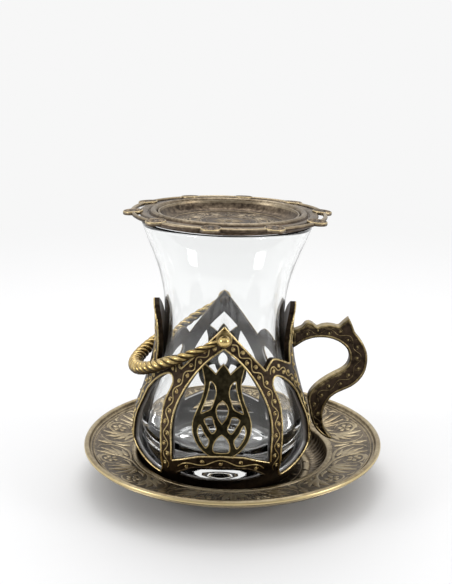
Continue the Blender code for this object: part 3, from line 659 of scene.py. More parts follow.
class NodeMaker:
    """Adds nodes to a tree."""

    def __init__(self, tree):
        self.tree = tree

    def node(self, kind, settings=None, **values):
        node = self.tree.nodes.new(kind)
        for key, value in (settings or {}).items():
            setattr(node, key, value)
        for key, value in values.items():
            self.feed(value, node.inputs[key.replace("_", " ")])
        return node

    def feed(self, value, socket):
        if isinstance(value, Value):
            self.tree.links.new(value.socket, socket)
        elif isinstance(value, bpy.types.NodeSocket):
            self.tree.links.new(value, socket)
        else:
            socket.default_value = value


class TreeMaker(NodeMaker):
    """A node tree for a modifier, with a geometry input, a geometry output and the named inputs."""

    def __init__(self, name, **inputs):
        super().__init__(bpy.data.node_groups.new(name, "GeometryNodeTree"))
        new_socket = self.tree.interface.new_socket
        new_socket("Geometry", in_out="INPUT", socket_type="NodeSocketGeometry")
        for label, kind in inputs.items():
            new_socket(label, in_out="INPUT", socket_type="NodeSocket" + kind)
        new_socket("Geometry", in_out="OUTPUT", socket_type="NodeSocketGeometry")
        self.given = self.node("NodeGroupInput").outputs

    def first(self, kind, **values):
        """The first output of a new node."""
        return self.node(kind, **values).outputs[0]

    def stored(self, name):
        """The numbers that the mesh keeps under a name."""
        return self.first("GeometryNodeInputNamedAttribute", Name=name)

    def round_axis(self, shape):
        """Repeats a shape round +Z as often as the Copies input says."""
        points = self.first("GeometryNodePoints", Count=self.given["Copies"])
        share = Value(self, self.first("GeometryNodeInputIndex")).math("DIVIDE", self.given["Copies"])
        turn = self.first("ShaderNodeCombineXYZ", Z=share * (2 * math.pi))
        return self.first("GeometryNodeInstanceOnPoints", Points=points, Instance=shape, Rotation=turn)

    def ended(self, shape):
        """The tree, ended with Realize Instances, smooth shading and Set Material."""
        real = self.first("GeometryNodeRealizeInstances", Geometry=shape)
        smooth = self.first("GeometryNodeSetShadeSmooth", Geometry=real)
        painted = self.first("GeometryNodeSetMaterial", Geometry=smooth, Material=self.given["Material"])
        self.feed(painted, self.node("NodeGroupOutput").inputs[0])
        return self.tree


def stroke_tree():
    """Raised round lines of varying width along edges, repeated round +Z."""
    maker = TreeMaker("Raised lines", Sides="Int", Copies="Int", Material="Material")
    curve = maker.first("GeometryNodeMeshToCurve", Mesh=maker.given["Geometry"])
    ring = maker.first("GeometryNodeCurvePrimitiveCircle", Resolution=maker.given["Sides"], Radius=1.0)
    tube = maker.first(
        "GeometryNodeCurveToMesh", Curve=curve, Profile_Curve=ring, Scale=maker.stored("radius"),
        Fill_Caps=True)
    return maker.ended(maker.round_axis(tube))


def copy_tree():
    """One shape repeated round +Z."""
    maker = TreeMaker("Copies round the axis", Copies="Int", Material="Material")
    return maker.ended(maker.round_axis(maker.given["Geometry"]))


def ball_tree():
    """A small ball on each point, as large as the point's size."""
    maker = TreeMaker("Balls on points", Material="Material")
    ball = maker.first("GeometryNodeMeshUVSphere", Segments=8, Rings=6, Radius=1.0)
    points = maker.first("GeometryNodeMeshToPoints", Mesh=maker.given["Geometry"])
    return maker.ended(maker.first(
        "GeometryNodeInstanceOnPoints", Points=points, Instance=ball, Scale=maker.stored("size")))


def shared(name, maker):
    """The tree of that name, made the first time that it is asked for."""
    return bpy.data.node_groups.get(name) or maker()


def grown(mesh, tree, **values):
    """The plain mesh that a tree makes from a mesh, with its named inputs set."""
    holder = bpy.data.objects.new(mesh.name + "_lines", mesh)
    bpy.context.scene.collection.objects.link(holder)
    modifier = holder.modifiers.new("Shape", "NODES")
    modifier.node_group = tree
    for item in tree.interface.items_tree:
        if item.item_type == "SOCKET" and item.in_out == "INPUT" and item.name in values:
            modifier[item.identifier] = values[item.name]
    bpy.context.view_layer.update()
    result = bpy.data.meshes.new_from_object(holder.evaluated_get(bpy.context.evaluated_depsgraph_get()))
    holder.modifiers.clear()
    bpy.data.objects.remove(holder, do_unlink=True)
    return result


def raised(name, strokes, material, copies=1, sides=8):
    """Round lines along strokes, repeated round +Z."""
    tree = shared("Raised lines", stroke_tree)
    return grown(stroke_mesh(name, strokes), tree, Sides=sides, Copies=copies, Material=material)


def repeated(mesh, copies, material):
    """Copies of a mesh round +Z."""
    return grown(mesh, shared("Copies round the axis", copy_tree), Copies=copies, Material=material)


def beaded(name, dots, material):
    """A small ball on each dot."""
    return grown(dot_mesh(name, dots), shared("Balls on points", ball_tree), Material=material)


def add_piece(name, mesh, material, place, body=BODY, node=None):
    """A finished piece at the origin, with its place in its mesh, that rides on a body."""
    mesh.transform(place)
    mesh.name = name
    if not len(mesh.materials) or mesh.materials[0] is None:
        mesh.materials.clear()
        mesh.materials.append(material)
    piece = bpy.data.objects.new(name, mesh)
    bpy.context.scene.collection.objects.link(piece)
    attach(piece, body)
    if node:
        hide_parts(node)
    return piece


# Materials

class Finish(NodeMaker):
    """A material's nodes."""

    def __init__(self, name):
        self.material = bpy.data.materials.new(name)
        self.material.use_nodes = True
        super().__init__(self.material.node_tree)
        self.shader = self.tree.nodes["Principled BSDF"]

    def place(self):
        return self.node("ShaderNodeTexCoord").outputs["Object"]

    def noise(self, size_mm, detail=3.0, place=None):
        """Cloudy noise between 0 and 1, with patches of about the given size."""
        node = self.node(
            "ShaderNodeTexNoise", Vector=place or self.place(), Scale=0.5 / (size_mm * MM), Detail=detail)
        return Value(self, node.outputs[0])

    def attribute(self, name):
        node = self.node("ShaderNodeAttribute", {"attribute_name": name})
        return Value(self, node.outputs["Fac"])

    def mix(self, factor, low, high):
        node = self.node("ShaderNodeMix", {"data_type": "RGBA"})
        self.feed(factor, node.inputs[0])
        self.feed(low, node.inputs[6])
        self.feed(high, node.inputs[7])
        return node.outputs[2]

    def bump(self, height, depth_mm, strength=1.0):
        node = self.node("ShaderNodeBump", Height=height, Strength=strength, Distance=depth_mm * MM)
        self.feed(node.outputs[0], self.shader.inputs["Normal"])

    def set(self, name, value):
        self.feed(value, self.shader.inputs[name])

    def fade_to_light(self, start, end, strength):
        """Turns the surface to even light between two distances from the middle."""
        length_node = self.node("ShaderNodeVectorMath", {"operation": "LENGTH"}, Vector=self.place())
        reach = Value(self, length_node.outputs["Value"])
        glow = self.node("ShaderNodeEmission", Strength=strength)
        both = self.node("ShaderNodeMixShader")
        self.feed(reach.between(start, end), both.inputs[0])
        self.feed(self.shader.outputs[0], both.inputs[1])
        self.feed(glow.outputs[0], both.inputs[2])
        self.feed(both.outputs[0], self.tree.nodes["Material Output"].inputs["Surface"])


def opaque(rgb):
    return (*rgb, 1.0)


def antique_plate(name, ground, relief, ground_rough=0.46, relief_rough=0.3, bright=None, cast=None, hatch=0):
    """Plated metal, dark and dull in its recesses and where shade is painted, and light where the
    wear-and-shade value is high, from polish and painted light.
    """
    finish = Finish(name)
    worn = finish.attribute("worn")
    cloud = finish.noise(TONE_PATCH)
    grain = finish.noise(GRAIN_PATCH)
    fine = finish.noise(PIT_PATCH, detail=2.0)
    # The mix of dull and light plate follows the wear-and-shade value: real wear with painted shade and light
    rubbed_and_lit = (worn + (cloud - 0.5) * 0.5 + (grain - 0.5) * 0.6).between(0.25, 0.95)
    dull = finish.mix(
        (cloud * 0.4 + grain * 0.6).between(0.38, 0.62), opaque([c * 0.5 for c in ground]),
        opaque([c * 1.7 for c in ground]))
    shaded = [relief[0] * 0.62, relief[1] * 0.56, relief[2] * 0.5]
    lit = finish.mix(
        (cloud * 0.5 + grain * 0.5).between(0.35, 0.65), opaque(shaded),
        opaque([min(1.0, c * 1.15) for c in relief]))
    height = grain * 0.6 + fine * 0.4
    if hatch:
        split = finish.node("ShaderNodeSeparateXYZ", Vector=finish.place())
        across, along = Value(finish, split.outputs["X"]), Value(finish, split.outputs["Y"])
        line = (across.math("ARCTAN2", along) * float(hatch)).math("SINE").between(-0.2, 0.7)
        reach = (across * across + along * along).math("SQRT")
        starts, ends = (reach.between(edge * MM, (edge + HATCH_FADE) * MM) for edge in HATCH_BAND)
        cut = line * (starts * (1.0 - ends)) * (1.0 - worn.clamped())
        dull = finish.mix(cut * 0.75, dull, opaque([c * 0.25 for c in ground]))
        height = height - cut
    base = finish.mix(rubbed_and_lit, dull, lit)
    rough = rubbed_and_lit * (relief_rough - ground_rough) + (grain - 0.5) * 0.2 + ground_rough
    # Bright bare metal where the value passes 1: polished edges, with a painted highlight on the lid's disc
    # rims and garland
    if bright:
        base = finish.mix((worn - 1.0).between(0.1, 0.6), base, opaque(bright))
    # Pale plain metal inside the holder, painted lighter for the light that comes in through the glass
    if cast:
        base = finish.mix(finish.attribute("bare").between(0.3, 0.9), base, opaque(cast))
    finish.set("Base Color", base)
    finish.set("Metallic", 1.0)
    finish.set("Roughness", rough)
    finish.bump(height, PLATE_DEPTH, 0.55)
    return finish.material


def clear_glass(name, sizes):
    finish = Finish(name)
    finish.set("Base Color", opaque(sizes.tint))
    finish.set("Transmission Weight", 1.0)
    finish.set("IOR", sizes.ior)
    wave = finish.noise(GLASS_PATCH, detail=1.0)
    finish.set("Roughness", wave * 0.015)
    finish.bump(wave, GLASS_DEPTH, 0.12)
    return finish.material


def kept(maker, name, *values, **more):
    """The material of that name, made the first time that it is asked for."""
    return bpy.data.materials.get(name) or maker(name, *values, **more)


def studio_light(sizes):
    """White light that is bright above and behind, and dim from the room in front."""
    world = bpy.data.worlds.new("studio")
    world.use_nodes = True
    maker = NodeMaker(world.node_tree)
    split = maker.node("ShaderNodeSeparateXYZ", Vector=maker.node("ShaderNodeTexCoord").outputs["Generated"])
    depth, height = Value(maker, split.outputs["Y"]), Value(maker, split.outputs["Z"])
    above = height.between(0.25, 0.8) * sizes.over
    behind = (depth + height * 0.4).between(-0.35, 0.35) * (sizes.backdrop - sizes.room) + sizes.room
    seen = Value(maker, maker.node("ShaderNodeLightPath").outputs["Is Camera Ray"])
    light = above.math("MAXIMUM", behind)
    background = world.node_tree.nodes["Background"]
    background.inputs["Color"].default_value = (1.0, 1.0, 1.0, 1.0)
    maker.feed(seen * sizes.backdrop + (1.0 - seen) * light, background.inputs["Strength"])
    return world


# Ornament on a flat field, as strokes of (points, radii, worn)

STROKE_STEP = 0.45
VINE_STEP = 0.35
SECTOR_HALF = 23.2
ACANTHUS_LEAVES = [
    ([(0.0, -3.2), (0.0, 0.5), (0.0, 5.8)], 1.35),
    ([(0.3, -3.8), (2.4, -0.6), (3.1, 4.8)], 1.15),
    ([(0.5, -4.4), (3.2, -2.6), (5.0, 1.2)], 1.0),
    ([(0.0, -6.0), (4.2, -6.1), (8.4, -5.4), (12.2, -2.4), (13.1, 1.4), (11.4, 4.8), (8.2, 5.4), (5.7, 3.6),
      (5.6, 0.4), (7.2, -1.6)], 0.72),
    ([(12.9, -0.4), (14.5, 2.4), (14.8, 6.0)], 1.25),
    ([(12.8, -1.4), (16.2, 0.6), (17.9, 4.4)], 1.3),
    ([(12.2, -2.6), (16.2, -2.0), (19.4, 0.8)], 1.2),
    ([(8.6, -5.6), (13.4, -6.2), (18.2, -5.4), (21.2, -2.4), (21.6, 1.6), (20.0, 4.6), (18.2, 5.8)], 0.6),
    ([(12.6, -5.2), (15.0, -4.0), (18.6, -3.2)], 1.0),
    ([(SECTOR_HALF, -5.9), (SECTOR_HALF, -3.4), (SECTOR_HALF, -0.4)], 1.3),
    ([(SECTOR_HALF, 1.0), (SECTOR_HALF, 3.4), (SECTOR_HALF, 6.1)], 1.25),
    ([(3.2, -4.3), (6.4, -4.3), (8.9, -2.7)], 0.85),
    ([(12.0, 5.4), (9.8, 6.4), (6.0, 6.2)], 0.55),
    ([(5.2, 5.0), (4.4, 6.1), (2.2, 6.3)], 0.55),
]
FLOWER_MIDDLE = (9.3, 1.8)
FLOWER_SIZE = 2.7
PETAL_SHAPE = [(0.28, 0.14), (0.5, 0.28), (0.72, 0.34), (0.9, 0.26), (1.0, 0.1)]


def tapered(line, width, worn=1.0, tip=0.25):
    """A stroke that is widest a third of the way along and thin at its end."""
    last = max(1, len(line) - 1)
    radii = []
    for i in range(len(line)):
        share = i / last
        swell = 0.75 + 0.25 * share / 0.34
        if share > 0.34:
            swell = math.sin(math.pi * min(1.0, 0.25 + 0.75 * share))
        radii.append(width * max(tip, swell))
    return line, radii, worn


def spiral(middle, outer, inner, start, turns, hand, step):
    """A flat spiral from its outer radius in. hand is 1 for anticlockwise."""
    count = max(6, round(math.pi * (outer + inner) * turns / step))
    line = []
    for i in range(count + 1):
        share = i / count
        radius = outer + (inner - outer) * share**0.85
        angle = start + hand * 2 * math.pi * turns * share
        line.append(Vector((middle[0] + radius * math.cos(angle), middle[1] + radius * math.sin(angle))))
    return line


def leaf(points, width, worn=1.0):
    """A broad tapered stroke along a curved line."""
    return tapered(smooth_run(points, STROKE_STEP), width, worn, tip=0.3)


def flower(middle, size, petals=5):
    """Petals round a small centre."""
    middle = Vector(middle)
    strokes = []
    for k in range(petals):
        angle = 2 * math.pi * (k + 0.25) / petals
        out = Vector((math.cos(angle), math.sin(angle)))
        line = [middle + out * size * share for share, width in PETAL_SHAPE]
        strokes.append((line, [size * width for share, width in PETAL_SHAPE], 1.0))
    beside = Vector((size * 0.1, 0.0))
    strokes.append(([middle - beside, middle, middle + beside], [size * 0.1, size * 0.2, size * 0.1], 1.0))
    return strokes


def acanthus_sector(radius, sectors):
    """One of the sectors round a ring: palmette, scroll round a flower, lobed leaves and a bud, mirrored."""
    scale = math.pi * radius / sectors / SECTOR_HALF
    strokes = [leaf(points, width) for points, width in ACANTHUS_LEAVES] + flower(FLOWER_MIDDLE, FLOWER_SIZE)
    both = []
    for line, radii, worn in strokes:
        widths = [radius * scale for radius in radii]
        both.append(([Vector((p.x, p.y)) * scale for p in line], widths, worn))
        if max(p.x for p in line) > 0.1 and min(p.x for p in line) < SECTOR_HALF - 0.1:
            both.append(([Vector((-p.x, p.y)) * scale for p in line], widths, worn))
    return both


def vine(middle_line, amplitude, period, width, ball, worn=0.9):
    """A waving line with a ball and a curl in each hollow, as strokes and dots on a flat field."""
    line = even_run(smooth_run(middle_line, 0.6), VINE_STEP)
    total = VINE_STEP * (len(line) - 1)
    waves = max(1, round(2 * total / period)) / 2
    strokes, dots, wave = [], [], []
    for i, point in enumerate(line):
        before, after = line[max(i - 1, 0)], line[min(i + 1, len(line) - 1)]
        along = (after - before).normalized()
        out = Vector((-along.y, along.x))
        wave.append(point + out * amplitude * math.sin(2 * math.pi * waves * i / (len(line) - 1)))
    strokes.append((wave, [width] * len(wave), worn))
    for k in range(round(waves * 2)):
        share = (k + 0.5) / (2 * waves)
        i = min(len(line) - 2, max(1, round(share * (len(line) - 1))))
        along = (line[i + 1] - line[i - 1]).normalized()
        side = -1 if k % 2 == 0 else 1
        out = Vector((-along.y, along.x)) * side
        centre = line[i] + out * amplitude * 0.62
        dots.append((centre, ball, 1.0))
        start = math.atan2(-out.y, -out.x) + side * 0.9
        curl = spiral(centre, ball * 1.75, ball * 1.1, start, 0.6, side, step=0.3)
        strokes.append(tapered(curl, width * 0.9, worn))
    return strokes, dots


def relief_on_ring(name, strokes, radius, surface, height, copies, material):
    """Flat relief of strokes laid round a ring, with rubbed tops and dark edges, repeated round +Z.

    surface(radius) is the height under the relief, and height is its thickness to half its width.
    """
    flat = [([Vector((p.x, p.y, 0.0)) for p in line], radii, worn) for line, radii, worn in strokes]
    mesh = raised(name, flat, material, sides=10)
    tops = [vertex.normal.z for vertex in mesh.vertices]
    for vertex, up, rubbed_and_lit in zip(mesh.vertices, tops, mesh.attributes["worn"].data):
        x, y, z = vertex.co / MM
        reach = radius + y
        angle = x / radius - math.pi / 2
        z = surface(reach) + z * height
        vertex.co = Vector((reach * math.cos(angle), reach * math.sin(angle), z)) * MM
        rubbed_and_lit.value *= ramp(up, 0.1, 0.5)
    return repeated(mesh, copies, material)


def ring_line(radius, height, width, worn, sides=240):
    line = []
    for k in range(sides + 1):
        angle = 2 * math.pi * (k % sides) / sides
        line.append(Vector((radius * math.cos(angle), radius * math.sin(angle), height)))
    return line, [width] * len(line), worn


# Saucer

def saucer_section():
    """The saucer's section as (radius, height, worn). The cove and the tick ring also name their cuts."""
    section = []
    for degrees in range(-70, 181, 10):
        angle = math.radians(degrees)
        reach = RIM_BEAD * (RIM_CUT if degrees == RIM_CUT_ANGLE else 1.0)
        worn = next(value for last, value in RIM_WORN if degrees <= last)
        radius = SAUCER_RADIUS - RIM_BEAD + reach * math.cos(angle)
        section.append((radius, SAUCER_HEIGHT + reach * math.sin(angle), worn))
    section += FLANGE + WELL_EDGE
    low, high = COVE_HEIGHTS
    for k in range(1, COVE_STEPS + 1):
        angle = math.radians(90 * k / COVE_STEPS)
        radius = WELL_FLOOR_RADIUS + (WELL_RADIUS - WELL_FLOOR_RADIUS) * math.cos(angle)
        row = (radius, low + (high - low) * (1 - math.sin(angle)), 0.25)
        section.append(row + ("flutes",) if 1 < k < COVE_STEPS else row)
    return section + [row + ("ticks",) for row in TICK_RING] + WELL_FLOOR + SAUCER_UNDERSIDE


def flange_height(radius):
    """Height of the flange's top at a radius."""
    table = [(37.1, 9.98)] + [row[:2] for row in FLANGE[6:1:-1]]
    for (r0, h0), (r1, h1) in zip(table, table[1:]):
        if radius <= r1:
            return h0 + (h1 - h0) * (radius - r0) / (r1 - r0)
    return table[-1][1]


def saucer_mesh(sizes):
    """The turned saucer with its fluted cove and the ticks cut round the well's floor."""
    sides = sizes.flutes * STEPS_A_FLUTE

    def cut(row, k, point):
        radius, height, worn = row[:3]
        x, y, z = point
        if "flutes" in row:
            rib = 0.5 + 0.5 * math.cos(2 * math.pi * k / STEPS_A_FLUTE)
            foot, top = COVE_FADES
            fade = min(1.0, (radius - WELL_FLOOR_RADIUS) / foot, (COVE_HEIGHTS[1] - height) / top)
            drop = (1.0 - rib) * sizes.flute_depth / MM * max(0.0, fade)
            inward = 1.0 + drop / radius
            return (x * inward, y * inward, z - drop * 0.5), 0.12 + 0.5 * rib * rib
        if "ticks" in row and (k * sizes.ticks) % sides < 2 * sizes.ticks:
            return (x, y, z - TICK_DEPTH), -0.6
        return point, worn

    return solid_mesh("saucer_dish", *turned(saucer_section(), sides, cut), smooth_angle=50)


def saucer_ornament(sizes, material):
    """Leaves round the flange, the lines that border them, and scallops on the well's floor."""
    flange = relief_on_ring(
        "saucer_leaves", acanthus_sector(FLANGE_LEAF_RADIUS, sizes.sectors), FLANGE_LEAF_RADIUS,
        flange_height, sizes.relief_height, sizes.sectors, material)
    rings = raised("saucer_lines", [ring_line(*line) for line in SAUCER_LINES], material, sides=8)
    spread = 2 * math.pi * WELL_SCALLOP_RADIUS / WELL_SCALLOPS
    arc = [(-0.5, 1.4), (-0.42, -0.8), (0.0, -1.7), (0.42, -0.8), (0.5, 1.4)]
    scallop = [
        leaf([(spread * share, y) for share, y in arc], 0.3, 0.6),
        leaf([(0.0, -0.9), (0.0, 0.3), (0.0, 1.5)], 0.7, 0.6),
    ]
    floor = relief_on_ring(
        "saucer_scallops", scallop, WELL_SCALLOP_RADIUS, lambda reach: WELL_FLOOR_HEIGHT, sizes.relief_height,
        WELL_SCALLOPS, material)
    return flange, rings, floor


# Holder

def on_holder(point, depth):
    """Position on the holder's surface from (arc length, height), depth inwards."""
    angle = point[0] / PANEL_REFERENCE_RADIUS
    reach = interpolate(HOLDER_PROFILE, point[1]) - depth
    return Vector((reach * math.sin(angle), -reach * math.cos(angle), point[1]))


def panel_run(points, step, smooth=True):
    """A run given in (degrees, height) as (arc length, height)."""
    scale = math.radians(1.0) * PANEL_REFERENCE_RADIUS
    flat = [(angle * scale, height) for angle, height in points]
    if smooth:
        return smooth_run(flat, step)
    line = []
    for i in range(len(flat) - 1):
        line.extend(smooth_run(flat[i:i + 2], step)[:-1])
    return line + [Vector(flat[-1])]


def window_runs(step):
    return [panel_run(run, step) for run in (WINDOW_TOP, WINDOW_SPINE, WINDOW_FOOT, WINDOW_PILASTER)]


def holder_panel(step, grid):
    """Quarter of the openwork wall, triangulated flat: gables, arch, pilaster, window and base ring."""
    side_foot = (SIDE_GABLE[-1][0], 0.0)
    outline = joined([
        panel_run([GABLE_TIP, VALLEY], step, smooth=False),
        panel_run(LEDGE, step),
        panel_run(SIDE_GABLE, step),
        panel_run([SIDE_GABLE[-1], side_foot], step, smooth=False),
        panel_run([side_foot, (0.0, 0.0)], step, smooth=False),
        panel_run([(0.0, 0.0), BASE_RING_TOP[-1]], step, smooth=False),
        panel_run(BASE_RING_TOP[::-1], step),
        panel_run(BAND_FOOT[::-1], step),
        panel_run([BAND_FOOT[0], BAND_TOP[-1]], step, smooth=False),
        panel_run(BAND_TOP[::-1], step),
        panel_run(ARCH_SIDE[::-1], step),
        panel_run([ARCH_SIDE[0], GABLE_TIP], step, smooth=False),
    ])
    return triangulate([outline, joined(window_runs(step))], grid)


def four_ways(points):
    """The four mirror images of points, each with its sense: 1 as given, -1 turned over."""
    for flip_x in (1, -1):
        for flip_y in (1, -1):
            yield [Vector((p[0] * flip_x, p[1] * flip_y, p[2])) for p in points], flip_x * flip_y


def holder_wall_mesh():
    """The whole openwork wall: the quarter panel and its three mirror images."""
    flat, faces = holder_panel(1.0, 2.4)
    edge_arc = math.radians(90) * PANEL_REFERENCE_RADIUS

    def on_mirror_line(a, b):
        return (a[0] < 1e-4 and b[0] < 1e-4) or (a[0] > edge_arc - 1e-4 and b[0] > edge_arc - 1e-4)

    points, solid = thick_sheet(flat, faces, on_holder, 0.0, HOLDER_WALL, on_mirror_line)
    all_points, all_faces = [], []
    for moved, sense in four_ways(points):
        first = len(all_points)
        all_points.extend(moved)
        for face in solid:
            turned_face = [first + i for i in face]
            all_faces.append(turned_face if sense > 0 else turned_face[::-1])
    worn = [0.1] * len(all_points)
    # Pale inside of the wall: plain metal painted lighter for the light in the glass, fading out towards the
    # top
    inner = [1.0 - ramp(point[1], *HOLDER_BARE_AND_LIT_HEIGHTS) for point in flat]
    bare = ([0.0] * len(flat) + inner) * 4
    return solid_mesh("holder_wall", all_points, all_faces, worn, 40, bare)


def border_strokes(radius):
    """Raised lines along both edges of every bar."""
    step = 0.8
    inset = radius * 0.9
    runs = [
        (panel_run([GABLE_TIP, VALLEY], step, smooth=False), -1, 1.0), (panel_run(LEDGE, step), -1, 1.0),
        (panel_run(SIDE_GABLE, step), -1, 1.0), (panel_run(ARCH_SIDE, step), 1, 1.0),
        (panel_run(BAND_TOP, step), 1, 1.2), (panel_run(BAND_FOOT, step), 1, 0.25),
    ]
    strokes = [(offset_run(run, inset * side), worn) for run, side, worn in runs]
    window = offset_run(joined(window_runs(step)), inset, closed=True)
    strokes.append((window + [window[0]], 1.0))
    lines = []
    for run, worn in strokes:
        line = [on_holder((max(p.x, 0.0), p.y), radius * 0.15) for p in run]
        for moved, sense in four_ways(line):
            lines.append((moved, [radius] * len(moved), worn))
    return lines


def vine_strokes(sizes):
    """Scrolls along the bars, on the four quarters."""
    scale = math.radians(1.0) * PANEL_REFERENCE_RADIUS
    period, width, ball = sizes.vine_period / MM, sizes.vine / MM, sizes.ball / MM
    lines, dots = [], []
    plans = [
        (PILASTER_VINE, 0.85, period, ball), (GABLE_VINE, 1.1, period * 1.1, ball * 1.1),
        (LEDGE_VINE, 0.9, period, ball), (SPINE_VINE, 1.0, period * 1.05, ball),
        (BAND_VINE, 0.75, period * 1.45, ball * 0.85),
    ]
    for plan, amplitude, wave, size in plans:
        flat = [(angle * scale, height) for angle, height in plan]
        strokes, balls = vine(flat, amplitude, wave, width, size)
        ways = 2 if plan is BAND_VINE else 4
        for line, radii, worn in strokes:
            placed = [on_holder(p, -0.02) for p in line]
            lines.extend((moved, radii, worn) for moved, sense in list(four_ways(placed))[:ways])
        placed = [on_holder(dot[0], 0.05) for dot in balls]
        for moved, sense in list(four_ways(placed))[:ways]:
            dots.extend((point, dot[1], dot[2]) for point, dot in zip(moved, balls))
    return lines, dots


def on_tulip(sign, point, depth):
    reach = interpolate(HOLDER_PROFILE, point[1]) - TULIP_INSET - depth
    angle = math.asin(point[0] / reach)
    return Vector((sign * reach * math.sin(angle), -sign * reach * math.cos(angle), point[1]))


def mirrored_loop(half):
    """A closed loop from the half of it that runs from top to bottom beside the middle line."""
    return [Vector(p) for p in half] + [Vector((-p[0], p[1])) for p in half[-2:0:-1]]


def tulip_loops(step):
    """The tulip's outline, then its holes, as closed flat loops."""
    half = smooth_run(TULIP_POINTS, step)[:-1] + smooth_run(TULIP_SHOULDER, step)[:-1]
    outline = mirrored_loop(half + smooth_run(TULIP_SIDE, step))
    holes = [mirrored_loop(smooth_run(half, step)) for half in (TULIP_ALMOND, TULIP_ARCH_HOLE)]
    for side in (1, -1):
        for hole in (TULIP_SLOT, TULIP_CHEVRON, TULIP_SIDE_HOLE):
            holes.append(smooth_run([(side * x, y) for x, y in hole], step, closed=True))
    return [outline] + holes


def tulip_meshes(material):
    """Both tulips as plates with a thin raised line round each edge."""
    loops = tulip_loops(0.6)
    flat, faces = triangulate(loops, 1.6)
    plates, lines = [], []
    for sign in (1, -1):
        points, solid = thick_sheet(
            flat, faces, lambda point, depth: on_tulip(sign, point, depth), 0.0, TULIP_WALL)
        plates.append(solid_mesh("tulip_plate", points, solid, [0.1] * len(points), smooth_angle=40))
        for loop in loops:
            line = [on_tulip(sign, point, 0.12) for point in loop]
            line.append(line[0].copy())
            lines.append((line, [0.2] * len(line), 0.85))
    return plates, raised("tulip_edges", lines, material, sides=6)


def holder_floor_mesh():
    low, high = HOLDER_FLOOR
    reach = interpolate(HOLDER_PROFILE, low) - 0.8
    section = [(0.0, low, 0.1), (reach, low, 0.1), (reach + 0.6, high, 0.1), (0.0, high, 0.1)]
    points, faces, worn = turned(section, 96)
    # The whole floor takes the pale inside colour: plain metal with painted light
    return solid_mesh("holder_floor", points, faces, worn, 40, [1.0] * len(points))


# Rivets and rope

def rivet_mesh(sign):
    """Peened head inside the wall, shank, collar and ball, as one turned piece."""
    wall_face = interpolate(HOLDER_PROFILE, RIVET_HEIGHT)
    head = wall_face - HOLDER_WALL - GAP
    collar = wall_face + GAP + EYE_THICKNESS + GAP
    section = [(radius, head + along, worn) for radius, along, worn in RIVET_HEAD]
    section += [(radius, collar + along, worn) for radius, along, worn in RIVET_COLLAR]
    start, end = RIVET_BALL_ANGLES
    for k in range(1, RIVET_BALL_STEPS + 1):
        angle = math.radians(start + (end - start) * k / RIVET_BALL_STEPS)
        reach = RIVET_BALL_RADIUS * math.cos(angle) if k < RIVET_BALL_STEPS else 0.0
        section.append((reach, collar + RIVET_BALL_REACH + RIVET_BALL_RADIUS * math.sin(angle), 0.95))

    def laid(row, k, point):
        x, y, z = point
        return (x, -sign * z, RIVET_HEIGHT + sign * y), row[2]

    return solid_mesh("rivet", *turned(section, 40, laid), smooth_angle=45)


def rope_middle():
    """Middle line of the rope from the front eye round the left side to the rear eye."""
    half_span = interpolate(HOLDER_PROFILE, RIVET_HEIGHT) + GAP + EYE_THICKNESS / 2
    droop = math.radians(ROPE_DROOP)
    fine = []
    for k in range(241):
        t = math.pi * k / 240
        reach = ROPE_REACH * math.sin(t)
        height = RIVET_HEIGHT - reach * math.sin(droop)
        fine.append(Vector((-reach * math.cos(droop), -half_span * math.cos(t), height)))
    return even_run(fine, ROPE_STEP)


def rope_strokes(sizes):
    """Each strand as a helix about the rope's middle line, tighter and thicker at its middle."""
    line = rope_middle()
    last = len(line) - 1
    radii = [
        ROPE_THIN_RADIUS + (ROPE_THICK_RADIUS - ROPE_THIN_RADIUS) * math.sin(math.pi * i / last) ** 1.3
        for i in range(last + 1)
    ]
    twist, sides = [0.0], []
    side = None
    for i in range(last + 1):
        along = (line[min(i + 1, last)] - line[max(i - 1, 0)]).normalized()
        side = side or along.orthogonal().normalized()
        side = (side - along * side.dot(along)).normalized()
        sides.append((side, along.cross(side)))
        bulk = math.sin(math.pi * i / last) ** 0.8
        pitch = (sizes.end_pitch + (sizes.pitch - sizes.end_pitch) * bulk) / MM
        twist.append(twist[-1] + 2 * math.pi * ROPE_STEP / pitch)
    strokes = []
    for n in range(sizes.strands):
        phase = 2 * math.pi * n / sizes.strands
        strand, widths = [], []
        for i in range(last + 1)[ROPE_ENDS_CUT:-ROPE_ENDS_CUT]:
            across, up = sides[i]
            turn = twist[i] + phase
            offset = across * math.cos(turn) + up * math.sin(turn)
            strand.append(line[i] + offset * radii[i] * STRAND_OFFSET)
            widths.append(radii[i] * STRAND_WIDTH)
        strokes.append((strand, widths, 0.95))
    widths = [radius * CORE_WIDTH for radius in radii[ROPE_ENDS_CUT:-ROPE_ENDS_CUT]]
    strokes.append((line[ROPE_ENDS_CUT:-ROPE_ENDS_CUT], widths, 0.0))
    return strokes, line, radii


def darken_grooves_and_shade_below(mesh, line, radii):
    """Sets the rope's wear-and-shade value from how far each point stands out from its middle line, dark
    patina in the grooves, then paints shade on faces that look down.
    """
    tree = KDTree(len(line))
    for i, point in enumerate(line):
        tree.insert(point * MM, i)
    tree.balance()
    for vertex, rubbed_and_lit in zip(mesh.vertices, mesh.attributes["worn"].data):
        place, i, reach = tree.find(vertex.co)
        rubbed_and_lit.value = 1.1 * ramp(reach / (radii[i] * MM), 0.64, 0.94)
    # Painted shade on the rope's underside
    paint_shade_below(mesh, -0.35, 0.45)


def paint_shade_below(mesh, low, high):
    """Paints shade on faces that look down: the wear-and-shade value fades out from an upward slope of high
    to low.
    """
    slopes = [vertex.normal.z for vertex in mesh.vertices]
    for slope, rubbed_and_lit in zip(slopes, mesh.attributes["worn"].data):
        rubbed_and_lit.value *= ramp(slope, low, high)


